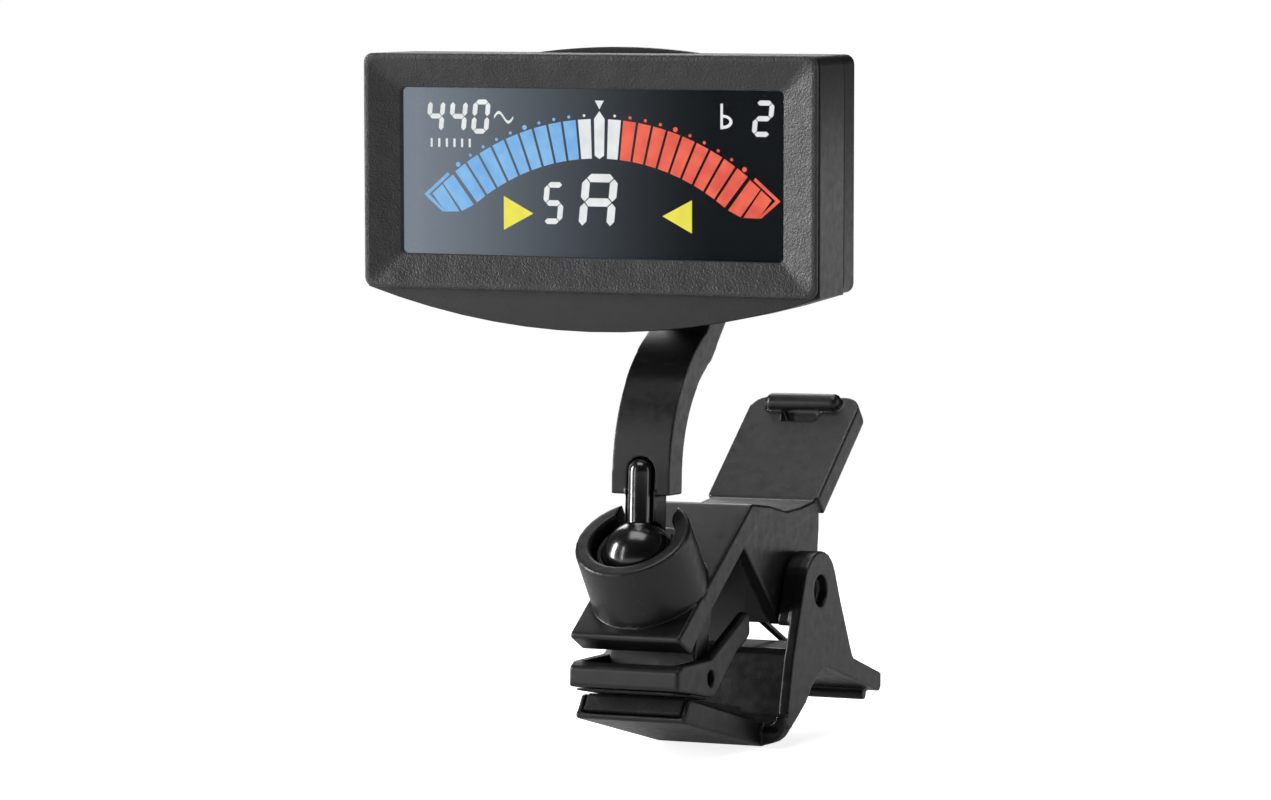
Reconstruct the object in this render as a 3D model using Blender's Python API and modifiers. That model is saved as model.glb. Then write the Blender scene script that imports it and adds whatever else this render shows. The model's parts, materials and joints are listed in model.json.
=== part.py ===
"""Clip-on instrument tuner: a display head on a curved arm, a ball joint and a sprung clip.

Frame: the origin is the middle of the lower jaw's flat underside, +X runs along the
pivot pin, the clip's mouth faces -Y and +Z is up.  Sizes are in millimetres, and points
of the clip are measured from the middle of its pivot pin; CLIP_FRAME and MM turn them
into Blender's metres where a mesh is made.
"""
import math

import bmesh
import bpy
from mathutils import Matrix, Vector

MM = 0.001
MERGE = 0.00001
FIT = 0.15              # gap between pieces that rest on each other
RUN = 0.08              # radial clearance of a pin in its hole
ROUND = 24              # facets of a pin or bore

# --- clip: profiles are (y, z) pairs from the middle of the pivot pin ----------
JAW_FRONT = (-32.3, -13.95)     # ends of the lower jaw's flat underside
JAW_REAR = (-10.0, -19.05)
CLIP_HALF = 7.5         # half width of jaws and cheeks
PLATE = 3.1             # thickness of the upper lever's front plate
SLOPE = math.radians(36.2)
NOSE = (-34.1, -3.5)
RIDGE_Y = -13.3
RIDGE_Z = NOSE[1] + (RIDGE_Y - NOSE[0]) * math.tan(SLOPE)
VALLEY = (-2.8, 10.2)
HANDLE_ROOT = (5.4, 10.9)
HANDLE_SLOPE = math.radians(41.0)
HANDLE_LENGTH = 19.6
HANDLE_HALF = 7.9
HANDLE_THICK = 2.8
CHEEK_THICK = 1.8
CHEEK_LOW = -4.1         # flat lower edge of each cheek

PIVOT_R = 1.5
PIVOT_HALF = 9.7
EAR_IN = 7.8
EAR_PLATE_IN = 9.5      # below its boss each ear is only a thin plate
EAR_BOSS_LOW = -4.1
EAR_OUT = 10.9
EAR_TOP_R = 5.0
PIVOT_SINK_R = 2.0      # counterbore in each ear that hides the pin's end
FOOT_END = (19.4, -12.3)
FOOT_THICK = 2.4

PAD_SLOPE = math.radians(-9.6)
CARRIER_FRONT = (-34.4, -9.8)
CARRIER_PIN = (-25.2, -9.0)
CARRIER_PIN_R = 0.95
CARRIER_PIN_HALF = 6.7  # ends short of the carrier's outer faces
NOSE_UNDER = (-30.7, -5.6)   # lower edge of the sloping face under the nose
UPPER_PAD = 0.3
LOWER_PAD = 2.4
PAD_STEP = 0.5          # from the carrier's underside down to the lower pad
PAD_SEAT = PAD_STEP + LOWER_PAD + FIT

SPRING_R = 3.1
SPRING_WIRE = 0.45
SPRING_TURNS = 6
SPRING_X = (-4.9, 1.7)  # the coil's ends, with the upper leg at the first
SPRING_GRIP = (7.5, 8.5)     # end of the upper leg, under the handle's root
SPRING_FOOT = (14.0, -9.95)  # end of the lower leg, just above the foot's plate

# --- ball joint ---------------------------------------------------------------
CUP_AXIS = math.radians(36.0)
RIM = Vector((0, -32.0, 8.6))
CUP_DIR = Vector((0, -math.sin(CUP_AXIS), math.cos(CUP_AXIS)))
BALL_DEPTH = 3.3
BALL = RIM - CUP_DIR * BALL_DEPTH
BALL_R = 4.5
STUD_R = 1.5
STUD_TOP = 12.1
SEAT_IN = BALL_R + 0.12
SEAT_OUT = 5.2
CUP_BORE = 5.35
CUP_OUT = 7.3
CUP_HEIGHT = 8.3
GAP_HALF = 3.8          # the cup and its liner are open at the back by twice this
GAP_FLOOR = -1.2

# --- head, in its own frame: x right, y back, z up, origin on the front -------
HEAD_AT = Vector((-6.9, -30.9, 52.8))
YAW = math.radians(3.26)
NOD = math.radians(2.77)
ROLL = math.radians(1.14)
HEAD_W = 60.6
HEAD_H = 29.2
CORNER = 1.2
CHIN = 4.9              # how far the case's bottom bulges below the bezel
CHIN_STEPS = 14
WINDOW_W = 51.2
WINDOW_H = 20.7
BEZEL_FLANGE = 0.6
BEZEL_BACK = 1.8
BEZEL_SINK = 1.0
CASE_FRONT = 1.1
CASE_SPLIT = 9.2
REAR_FRONT = CASE_SPLIT + FIT
REAR_BACK = 12.8
WALL = 1.5
CHIN_BACK = 7.6
CELL_X = -11.5
CELL_R = 10.0
CELL_THICK = 3.2
COVER_R = 11.2
BUTTON_X = (6.5, 14.0, 21.5)
BUTTON_Z = 3.0
BUTTON_R = 2.4
SCREW_X = 26.9
SCREW_Z = 11.4
POWER_CHORD = 23.0
POWER_RISE = 0.75
PRESS = 0.5             # travel of the power button
BOARD_BACK = 7.3        # back face of the circuit board

# --- arm, in its own frame: origin at the ball's centre ------------------------
ARM_HALF = 3.85
ARM_THICK = 4.1
ARM_BOTTOM = 7.7
ARM_BEND_START = 10.0
ARM_FRONT_R = 19.3
ARM_BEND = math.radians(65)
ARM_RETURN_R = 8.5
KNUCKLE_HALF = 2.2
KNUCKLE_R = 2.15
TILT_PIN_R = 1.0
LUG_R = 2.9
LUG_IN = 2.85
LUG_OUT = 4.8
KNUCKLE_RISE = 3.2      # tilt pin above the end of the arm's second bend

JAW_MIDDLE = (Vector((0, *JAW_FRONT)) + Vector((0, *JAW_REAR))) / 2
CLIP_FRAME = Matrix.Translation(-JAW_MIDDLE * MM)
HEAD_ROT = (Matrix.Rotation(YAW, 4, "Z") @ Matrix.Rotation(NOD, 4, "X")
            @ Matrix.Rotation(ROLL, 4, "Y"))
HEAD_FRAME = CLIP_FRAME @ Matrix.Translation(HEAD_AT * MM) @ HEAD_ROT
BALL_FRAME = CLIP_FRAME @ Matrix.Translation(BALL * MM)
ARM_FRAME = BALL_FRAME @ HEAD_ROT @ Matrix.Rotation(-NOD, 4, "X")
CUP_FRAME = BALL_FRAME @ Matrix.Rotation(CUP_AXIS, 4, "X")
# local x, y, z of a flat outline become Y, Z, X (side view)
SIDE = Matrix(((0, 0, 1, 0), (1, 0, 0, 0), (0, 1, 0, 0), (0, 0, 0, 1)))
# local x, y, z of a flat outline become X, Z, -Y (front view)
FACE = Matrix.Rotation(math.pi / 2, 4, "X")

MATERIALS = {
    "case_plastic": ((0.055, 0.055, 0.06), 0.55, 0.0),
    "black_plastic": ((0.02, 0.02, 0.022), 0.4, 0.0),
    "clip_plastic": ((0.03, 0.03, 0.032), 0.45, 0.0),
    "rubber": ((0.015, 0.015, 0.015), 0.85, 0.0),
    "lens": ((0.02, 0.025, 0.03), 0.08, 0.0),
    "lcd": ((0.08, 0.12, 0.2), 0.2, 0.0),
    "diffuser": ((0.85, 0.87, 0.9), 0.5, 0.0),
    "board_green": ((0.03, 0.2, 0.08), 0.5, 0.0),
    "chip": ((0.02, 0.02, 0.02), 0.5, 0.0),
    "steel": ((0.6, 0.6, 0.62), 0.3, 1.0),
    "brass": ((0.7, 0.52, 0.25), 0.35, 1.0),
}


# ------------------------------------------------------------------ helpers --
def clear_scene():
    for obj in list(bpy.data.objects):
        bpy.data.objects.remove(obj, do_unlink=True)


def new_collection(name):
    coll = bpy.data.collections.new(name)
    bpy.context.scene.collection.children.link(coll)
    return coll


def principled(name):
    colour, roughness, metallic = MATERIALS[name]
    mat = bpy.data.materials.get(name)
    if mat is None:
        mat = bpy.data.materials.new(name)
        mat.use_nodes = True
        shader = mat.node_tree.nodes["Principled BSDF"]
        shader.inputs["Base Color"].default_value = (*colour, 1)
        shader.inputs["Roughness"].default_value = roughness
        shader.inputs["Metallic"].default_value = metallic
    return mat


def arc(centre, radius, start, end, count):
    """Points of an arc from start to end degrees, both ends included."""
    points = []
    for i in range(count + 1):
        a = math.radians(start + (end - start) * i / count)
        points.append((centre[0] + radius * math.cos(a), centre[1] + radius * math.sin(a)))
    return points


def rounded_box(half_x, half_y, radius, count=4):
    """Outline of a rectangle with rounded corners."""
    x, y = half_x - radius, half_y - radius
    corners = (((x, y), 0), ((-x, y), 90), ((-x, -y), 180), ((x, -y), 270))
    points = []
    for centre, start in corners:
        points += arc(centre, radius, start, start + 90, count)
    return points


def add_mesh(name, bm, frame):
    mesh = bpy.data.meshes.new(name)
    bmesh.ops.recalc_face_normals(bm, faces=bm.faces)
    bm.to_mesh(mesh)
    bm.free()
    obj = bpy.data.objects.new(name, mesh)
    obj.matrix_world = frame
    return obj


def flat(name, outline, low, high, frame):
    """A flat outline, extruded from low to high along its own z."""
    curve = bpy.data.curves.new(name, "CURVE")
    curve.dimensions = "2D"
    curve.fill_mode = "BOTH"
    curve.extrude = (high - low) / 2 * MM
    spline = curve.splines.new("POLY")
    spline.points.add(len(outline) - 1)
    for point, (u, v) in zip(spline.points, outline):
        point.co = (u * MM, v * MM, 0, 1)
    spline.use_cyclic_u = True
    guide = bpy.data.objects.new(name + "_outline", curve)
    bpy.context.scene.collection.objects.link(guide)
    bpy.context.view_layer.update()
    evaluated = guide.evaluated_get(bpy.context.evaluated_depsgraph_get())
    mesh = bpy.data.meshes.new_from_object(evaluated)
    bpy.data.objects.remove(guide)
    bm = bmesh.new()
    bm.from_mesh(mesh)
    bpy.data.meshes.remove(mesh)
    bmesh.ops.remove_doubles(bm, verts=bm.verts, dist=MERGE)
    bmesh.ops.translate(bm, verts=bm.verts, vec=(0, 0, (low + high) / 2 * MM))
    return add_mesh(name, bm, frame)


def side(name, outline, low_x, high_x):
    """A (y, z) outline of the clip, extruded along X."""
    return flat(name, outline, low_x, high_x, CLIP_FRAME @ SIDE)


def face(name, outline, front, back):
    """An (x, z) outline of the head, from depth front to depth back."""
    return flat(name, outline, -back, -front, HEAD_FRAME @ FACE)


def block(name, low, high, frame):
    bm = bmesh.new()
    bmesh.ops.create_cube(bm, size=1)
    for vert in bm.verts:
        for i in range(3):
            vert.co[i] = (low[i] if vert.co[i] < 0 else high[i]) * MM
    return add_mesh(name, bm, frame)


def rod(name, radius, low, high, frame, segments=ROUND):
    """A round bar along its own z, from low to high."""
    bm = bmesh.new()
    bmesh.ops.create_cone(bm, cap_ends=True, segments=segments, radius1=radius * MM,
                          radius2=radius * MM, depth=(high - low) * MM)
    bmesh.ops.translate(bm, verts=bm.verts, vec=(0, 0, (low + high) / 2 * MM))
    return add_mesh(name, bm, frame)


def turned(name, profile, frame, steps=ROUND):
    """A profile of (radius, height) pairs, top to bottom, turned about its own z."""
    mesh = bpy.data.meshes.new(name)
    verts = [(r * MM, 0, h * MM) for r, h in profile]
    mesh.from_pydata(verts, [(i, i + 1) for i in range(len(verts) - 1)], [])
    obj = bpy.data.objects.new(name, mesh)
    obj.matrix_world = frame
    screw = obj.modifiers.new("turn", "SCREW")
    screw.steps = steps
    screw.render_steps = steps
    screw.use_merge_vertices = True
    screw.merge_threshold = MERGE
    return obj


def at(x, y, z, frame=CLIP_FRAME):
    return frame @ Matrix.Translation(Vector((x, y, z)) * MM)


def along_x(x, y, z, frame=CLIP_FRAME):
    return at(x, y, z, frame) @ Matrix.Rotation(math.pi / 2, 4, "Y")


def along_depth(x, y, z, frame=HEAD_FRAME):
    """Frame whose own z points towards the back."""
    return at(x, y, z, frame) @ Matrix.Rotation(-math.pi / 2, 4, "X")


class Builder:
    """Keeps the part's objects and its cutters in their two collections."""

    def __init__(self):
        self.parts = new_collection("clip_on_tuner")
        self.tools = new_collection("cutters")
        self.tool_count = 0

    def part(self, obj, material, bevel=0.0, bevel_angle=35.0):
        self.parts.objects.link(obj)
        obj.data.materials.clear()
        obj.data.materials.append(principled(material))
        if bevel:
            self.bevel(obj, bevel, bevel_angle)
        return obj

    def bevel(self, obj, width, angle=35.0, segments=1):
        mod = obj.modifiers.new("edges", "BEVEL")
        mod.width = width * MM
        mod.segments = segments
        mod.limit_method = "ANGLE"
        mod.angle_limit = math.radians(angle)
        return obj

    def boolean(self, obj, tool, operation):
        self.tool_count += 1
        tool.name = f"tool_{self.tool_count:02d}_{obj.name}"
        self.tools.objects.link(tool)
        tool.hide_render = True
        tool.display_type = "WIRE"
        mod = obj.modifiers.new(tool.name, "BOOLEAN")
        mod.operation = operation
        mod.object = tool
        mod.solver = "EXACT"
        return obj

    def cut(self, obj, tool):
        return self.boolean(obj, tool, "DIFFERENCE")

    def add(self, obj, tool):
        return self.boolean(obj, tool, "UNION")


# ------------------------------------------------------------- clip, upper --
def plate_point(distance, depth=0.0):
    """A point on the front plate: distance up from the nose, depth below its top."""
    y = NOSE[0] + distance * math.cos(SLOPE) + depth * math.sin(SLOPE)
    z = NOSE[1] + distance * math.sin(SLOPE) - depth * math.cos(SLOPE)
    return y, z


def handle_point(distance, depth=0.0):
    y = HANDLE_ROOT[0] + distance * math.cos(HANDLE_SLOPE) + depth * math.sin(HANDLE_SLOPE)
    z = HANDLE_ROOT[1] + distance * math.sin(HANDLE_SLOPE) - depth * math.cos(HANDLE_SLOPE)
    return y, z


def upper_skin_outline():
    """Front plate, ridge, valley and the root of the handle, as one bent strip."""
    ridge = (RIDGE_Y, RIDGE_Z)
    top = [(NOSE[0] + 0.1, NOSE[1] - 0.4), NOSE, (NOSE[0] + 0.4, NOSE[1] + 0.4),
           (ridge[0] - 0.5, ridge[1] - 0.35), ridge, (-8.0, 11.2), VALLEY, (1.2, 10.4),
           handle_point(0.2, 0.05), handle_point(1.6, 0.05)]
    under = [handle_point(1.6, HANDLE_THICK - 0.1), (1.0, 8.1), (-2.6, 7.9),
             (ridge[0] + 1.4, ridge[1] - 2.9), plate_point(24, PLATE), plate_point(6.0, PLATE),
             NOSE_UNDER]
    return top + under


def cheek_outline():
    """Side plate from the front plate round the pivot to the handle's root, flat at its bottom."""
    front = [plate_point(24, 1.5), plate_point(20.4, 2.0), plate_point(20.8, PLATE + 0.3)]
    low = [(-5.0, CHEEK_LOW + 0.3), (-4.6, CHEEK_LOW), (5.9, CHEEK_LOW), (6.3, CHEEK_LOW + 0.5)]
    return (front + low + [(6.8, 4.4), (7.2, 8.0), handle_point(1.0, 1.5), (1.0, 9.0), (-2.6, 8.8),
                     (-11.0, 10.2)])


def handle(build, lever):
    """Grip plate with rounded end corners, an end bar and a shallow grip slot."""
    tilt = at(0, *HANDLE_ROOT) @ Matrix.Rotation(HANDLE_SLOPE, 4, "X")
    radius = 2.6
    x, end = HANDLE_HALF - radius, HANDLE_LENGTH - radius
    outline = ([(-HANDLE_HALF, 0.6), (HANDLE_HALF, 0.6)] + arc((x, end), radius, 0, 90, 6)
               + arc((-x, end), radius, 90, 180, 6))
    build.add(lever, flat("grip", outline, -HANDLE_THICK, 0, tilt))
    bar = rounded_box(5.2, 0.75, 0.7, 3)
    build.add(lever, flat("end_bar", bar, -1.0, 0.55, at(0, HANDLE_LENGTH - 1.5, 0, tilt)))
    slot = [(-2.4, -0.7), (2.4, -0.7), (2.0, 0.8), (-2.0, 0.8)]
    build.cut(lever, flat("slot", slot, -4.0, 1.0, at(0, HANDLE_LENGTH - 3.4, 0, tilt)))


def cup(build, lever):
    """Open C-shaped cup that grips the ball, standing square on the front plate."""
    foot = BALL_DEPTH - CUP_HEIGHT - 0.6
    wall = [(0, BALL_DEPTH), (CUP_OUT - 0.35, BALL_DEPTH), (CUP_OUT - 0.08, BALL_DEPTH - 0.12),
            (CUP_OUT, BALL_DEPTH - 0.4), (CUP_OUT + 0.1, foot), (0, foot)]
    build.add(lever, turned("cup_wall", wall, CUP_FRAME, 32))
    bowl = arc((0, 0), CUP_BORE, 0, -90, 6)
    bore = [(0, BALL_DEPTH + 3), (CUP_BORE + 0.35, BALL_DEPTH + 3), (CUP_BORE + 0.35, BALL_DEPTH),
            (CUP_BORE, BALL_DEPTH - 0.35)]
    build.cut(lever, turned("cup_bore", bore + bowl, CUP_FRAME, 32))
    build.cut(lever, block("cup_gap", (-GAP_HALF, 0, GAP_FLOOR), (GAP_HALF, 9, BALL_DEPTH + 3),
                           CUP_FRAME))


def upper_lever(build):
    lever = build.part(side("upper_lever", upper_skin_outline(), -CLIP_HALF, CLIP_HALF),
                       "clip_plastic", 0.25)
    for sign in (-1, 1):
        inner, outer = sorted((sign * (CLIP_HALF - CHEEK_THICK), sign * (CLIP_HALF - 0.03)))
        build.add(lever, side("cheek", cheek_outline(), inner, outer))
    handle(build, lever)
    y, z = CARRIER_PIN
    lug = ([plate_point(9.0, PLATE - 0.6)] + arc((y, z), 1.7, 190, 350, 8)
           + [plate_point(15.0, PLATE - 0.6)])
    build.add(lever, side("lug", lug, -5.9, 5.9))
    cup(build, lever)
    build.cut(lever, rod("pivot_bore", PIVOT_R + RUN, -12, 12, along_x(0, 0, 0)))
    build.cut(lever, rod("pin_bore", CARRIER_PIN_R + RUN, -6, 6, along_x(0, y, z)))
    return lever


def pad_z(y, drop=0.0):
    """Height of the carrier's flat underside at y, lowered by drop."""
    return CARRIER_FRONT[1] + (y - CARRIER_FRONT[0]) * math.tan(PAD_SLOPE) - drop


def pad_carrier(build):
    """Shallow tray under the nose that swivels on its pin to follow the work."""
    front_y, front_z = CARRIER_FRONT
    cheek = [(front_y, front_z), (-24.9, pad_z(-24.9)), (-23.4, -11.0), (-22.0, -9.8), (-17.4, -6.3),
             (-14.7, -5.2), (-13.7, -4.4), (-13.8, -2.6), (-14.4, -1.6), (-15.2, -1.9),
             (-25.4, -6.6), (-33.2, -6.75), (-34.3, -7.4)]
    tray = build.part(side("pad_carrier", cheek, -CLIP_HALF, CLIP_HALF), "clip_plastic", 0.25)
    inner = [(-33.1, pad_z(-33.1) + 1.2), (-27.4, pad_z(-27.4) + 1.2), (-27.4, -16), (-10, -16),
             (-10, 5), (-33.1, 5)]
    build.cut(tray, side("hollow", inner, -CLIP_HALF + 1.3, CLIP_HALF - 1.3))
    build.cut(tray, rod("carrier_bore", CARRIER_PIN_R + 0.03, -9, 9, along_x(0, *CARRIER_PIN)))
    return tray


def upper_jaw_pad(build):
    outline = [(-33.7, pad_z(-33.7, 0.1)), (-33.7, pad_z(-33.7, 0.1 + UPPER_PAD)),
               (-25.0, pad_z(-25.0, 0.1 + UPPER_PAD)), (-25.0, pad_z(-25.0, 0.1))]
    build.part(side("upper_jaw_pad", outline, -6.7, 6.7), "rubber")


# ------------------------------------------------------------- clip, lower --
def ear_outline():
    """Side of the lower lever: an ear round the pivot that runs into the foot."""
    foot_under = (FOOT_END[0] - 0.6, FOOT_END[1] - FOOT_THICK)
    return (arc((0, 0), EAR_TOP_R, 25, 165, 12)
            + [(-6.6, -3.3), (-8.4, -8.2), (-9.7, -13.3), (-10.2, -16.2), (-9.9, -16.7),
               (-9.2, -16.8), (-6.9, -15.5), (-4.4, -13.9), (-2.6, -12.0), (0.2, -10.5), (2.6, -10.2),
               (5.0, -10.7)]
            + [foot_under, (FOOT_END[0], FOOT_END[1] - 1.8), FOOT_END, (10.6, -9.6), (10.0, -9.0),
               (8.7, -6.5), (6.4, -2.0)])


def boss_outline():
    """Inner boss of an ear, a little smaller than the ear and flat at its bottom."""
    radius = EAR_TOP_R - 0.03
    return (arc((0, 0), radius, 25, 165, 12)
            + [(-6.4, EAR_BOSS_LOW + 0.6), (-6.2, EAR_BOSS_LOW), (6.6, EAR_BOSS_LOW), (6.3, -2.0)])


def jaw_outline():
    """Lower jaw seen from the side: wedge-shaped, with a rounded front lip."""
    return [(-32.75, -13.55), (-32.6, -13.2), (-32.2, -13.0), (-31.1, -11.3), (-30.6, -11.05),
            (-10.0, -15.9), (-9.0, -16.6), (-8.8, -18.6), (-9.4, -19.1), JAW_REAR, JAW_FRONT]


def bridge_outline():
    """Arched floor between the ears, and the foot's plate behind it."""
    end_y, end_z = FOOT_END[0] - 0.05, FOOT_END[1] - 0.05
    return [(-11.0, -16.9), (-9.0, -15.0), (-7.2, -11.0), (-5.6, -7.8), (-4.6, -7.1), (5.4, -7.2),
            (8.0, -8.3), (10.45, -9.7), (end_y, end_z), (end_y, end_z - 1.7),
            (end_y - 0.6, end_z - FOOT_THICK + 0.1), (5.5, -10.75), (4.0, -9.4), (-3.8, -9.3),
            (-5.8, -13.4), (-9.2, -17.7), (-11.0, -17.5)]


def corner_outline(sign):
    """Rounded corner, seen from the front, that joins the rear of the jaw to an ear."""
    inside, outside = CLIP_HALF - 0.5, EAR_OUT - 0.03
    points = [(inside, -18.85), (8.2, -18.75), (9.2, -18.4), (10.0, -17.8), (10.55, -17.0),
              (outside, -16.0), (outside, -15.0), (EAR_PLATE_IN + 0.2, -15.0), (9.3, -15.8),
              (8.6, -16.3), (inside, -16.45)]
    return [(sign * x, z) for x, z in points]


def lower_lever(build):
    lever = build.part(side("lower_lever", jaw_outline(), -CLIP_HALF, CLIP_HALF), "clip_plastic", 0.25)
    pocket = [(-34, pad_z(-34, PAD_SEAT)), (-14.6, pad_z(-14.6, PAD_SEAT)), (-14.6, -5), (-34, -5)]
    build.cut(lever, side("pad_pocket", pocket, -6.75, 6.75))
    behind = [(-13.6, -16.9), (-10.8, -17.3), (-6, -10), (-13.6, -10)]
    build.cut(lever, side("rear_pocket", behind, -6.75, 6.75))
    build.add(lever, side("bridge", bridge_outline(), -EAR_PLATE_IN - 0.4, EAR_PLATE_IN + 0.4))
    for sign in (-1, 1):
        inner, outer = sorted((sign * EAR_PLATE_IN, sign * EAR_OUT))
        build.add(lever, side("ear", ear_outline(), inner, outer))
        inner, outer = sorted((sign * EAR_IN, sign * (EAR_PLATE_IN + 0.3)))
        build.add(lever, side("ear_boss", boss_outline(), inner, outer))
        build.add(lever, flat("corner", corner_outline(sign), 8.6, 10.75, CLIP_FRAME @ FACE))
    bar = along_x(0, FOOT_END[0] - 1.6, FOOT_END[1] - FOOT_THICK - 0.35)
    build.add(lever, rod("foot_bar", 0.75, -9.2, 9.2, bar, 16))
    build.cut(lever, rod("pivot_bore", PIVOT_R + 0.04, -12, 12, along_x(0, 0, 0)))
    for sign in (-1, 1):
        low, high = sorted((sign * (PIVOT_HALF - 0.1), sign * 12))
        build.cut(lever, rod("pivot_sink", PIVOT_SINK_R, low, high, along_x(0, 0, 0)))
    return lever


def lower_jaw_pad(build):
    bottom = PAD_STEP + LOWER_PAD
    outline = [(-30.5, pad_z(-30.5, PAD_STEP)), (-31.0, pad_z(-31.0, PAD_STEP + 0.35)),
               (-32.1, pad_z(-32.1, bottom - 0.3)),
               (-31.8, pad_z(-31.8, bottom)), (-14.8, pad_z(-14.8, bottom)),
               (-14.8, pad_z(-14.8, PAD_STEP))]
    build.part(side("lower_jaw_pad", outline, -6.6, 6.6), "rubber")


def pins(build):
    build.part(rod("pivot_pin", PIVOT_R, -PIVOT_HALF, PIVOT_HALF, along_x(0, 0, 0)), "steel")
    build.part(rod("carrier_pin", CARRIER_PIN_R, -CARRIER_PIN_HALF, CARRIER_PIN_HALF, along_x(0, *CARRIER_PIN), 24), "steel")


def tangent_angle(target, radius, turn):
    """Angle on the coil where a straight leg to target leaves it, on the turn side."""
    reach = math.hypot(*target)
    return math.atan2(target[1], target[0]) + turn * math.acos(radius / reach)


def torsion_spring(build):
    """Coil round the pivot pin with one leg under each grip, as one wire."""
    start = tangent_angle(SPRING_GRIP, SPRING_R, 1)
    finish = tangent_angle(SPRING_FOOT, SPRING_R, -1) + 2 * math.pi * (SPRING_TURNS + 1)
    steps = round((finish - start) / (2 * math.pi) * 8)
    first, last = SPRING_X
    points = [(first, *SPRING_GRIP)]
    for i in range(steps + 1):
        a = start + (finish - start) * i / steps
        x = first + (last - first) * i / steps
        points.append((x, SPRING_R * math.cos(a), SPRING_R * math.sin(a)))
    points.append((last, *SPRING_FOOT))
    curve = bpy.data.curves.new("torsion_spring", "CURVE")
    curve.dimensions = "3D"
    curve.bevel_depth = SPRING_WIRE * MM
    curve.bevel_resolution = 0
    curve.use_fill_caps = True
    spline = curve.splines.new("POLY")
    spline.points.add(len(points) - 1)
    for point, co in zip(spline.points, points):
        point.co = (co[0] * MM, co[1] * MM, co[2] * MM, 1)
    spring = bpy.data.objects.new("torsion_spring", curve)
    spring.matrix_world = CLIP_FRAME
    build.part(spring, "steel")


# -------------------------------------------------------------- ball joint --
def ball_seat(build):
    """Thin spring liner, open at the back like the cup, that grips the ball."""
    lip = 20
    outer = arc((0, 0), SEAT_OUT, lip, -90, 6)
    inner = arc((0, 0), SEAT_IN, -90, lip, 6)
    profile = [(max(r, 0), h) for r, h in outer + inner]
    profile.append(profile[0])
    seat = build.part(turned("ball_seat", profile, CUP_FRAME, 24), "black_plastic")
    build.cut(seat, block("seat_gap", (-GAP_HALF, 0, -2.2), (GAP_HALF, 9, 6), CUP_FRAME))


def ball_stud(build):
    """Ball and round stud in one piece."""
    neck = math.degrees(math.acos(STUD_R / BALL_R))
    profile = (arc((0, STUD_TOP - STUD_R), STUD_R, 90, 0, 3)
               + arc((0, 0), BALL_R, neck, -90, 9))
    profile[0] = (0, STUD_TOP)
    profile[-1] = (0, -BALL_R)
    build.part(turned("ball_stud", profile, ARM_FRAME, 24), "black_plastic")


def arm_path():
    """Front and back outlines of the arm, (y, z) from the ball's centre."""
    centre = (ARM_FRONT_R, ARM_BEND_START)
    bend = math.degrees(ARM_BEND)
    front = [(0, ARM_BOTTOM)] + arc(centre, ARM_FRONT_R, 180, 180 - bend, 9)
    back = [(ARM_THICK, ARM_BOTTOM)] + arc(centre, ARM_FRONT_R - ARM_THICK, 180, 180 - bend, 9)
    mid = ARM_FRONT_R - ARM_THICK / 2
    end = (centre[0] - mid * math.cos(ARM_BEND), centre[1] + mid * math.sin(ARM_BEND))
    pivot = (end[0] - ARM_RETURN_R * math.cos(ARM_BEND), end[1] + ARM_RETURN_R * math.sin(ARM_BEND))
    front += arc(pivot, ARM_RETURN_R - ARM_THICK / 2, bend - 90, 0, 6)[1:]
    back += arc(pivot, ARM_RETURN_R + ARM_THICK / 2, bend - 90, 0, 6)[1:]
    top = (pivot[0] + ARM_RETURN_R, pivot[1])
    return front, back, top


TILT_PIN = (arm_path()[2][0], arm_path()[2][1] + KNUCKLE_RISE)
PIN_IN_HEAD = (HEAD_FRAME.inverted() @ ARM_FRAME @ (Vector((0, *TILT_PIN)) * MM)) / MM


def arm(build):
    front, back, top = arm_path()
    frame = ARM_FRAME @ SIDE
    body = build.part(flat("arm", front + back[::-1], -ARM_HALF, ARM_HALF, frame),
                      "clip_plastic", 0.35)
    knuckle = ([(top[0] - 1.9, top[1] - 1.0)] + arc(TILT_PIN, KNUCKLE_R, 180, 0, 10)
               + [(top[0] + 1.9, top[1] - 1.0)])
    build.add(body, flat("knuckle", knuckle, -KNUCKLE_HALF, KNUCKLE_HALF, frame))
    neck = block("neck", (-1.95, -0.2, 1.0), (1.95, 3.8, ARM_BOTTOM + 0.6), ARM_FRAME)
    build.add(body, neck)
    ball = arc((0, 0), BALL_R + FIT, 90, -90, 12)
    build.cut(body, turned("ball_room", ball, ARM_FRAME, 24))
    room = STUD_R + RUN
    stud = arc((0, STUD_TOP - STUD_R), room, 90, 0, 3) + [(room, 0), (0, 0)]
    build.cut(body, turned("stud_room", stud, ARM_FRAME, ROUND))
    build.cut(body, rod("tilt_bore", TILT_PIN_R + RUN, -6, 6, along_x(0, *TILT_PIN, ARM_FRAME), 24))
    return body


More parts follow.
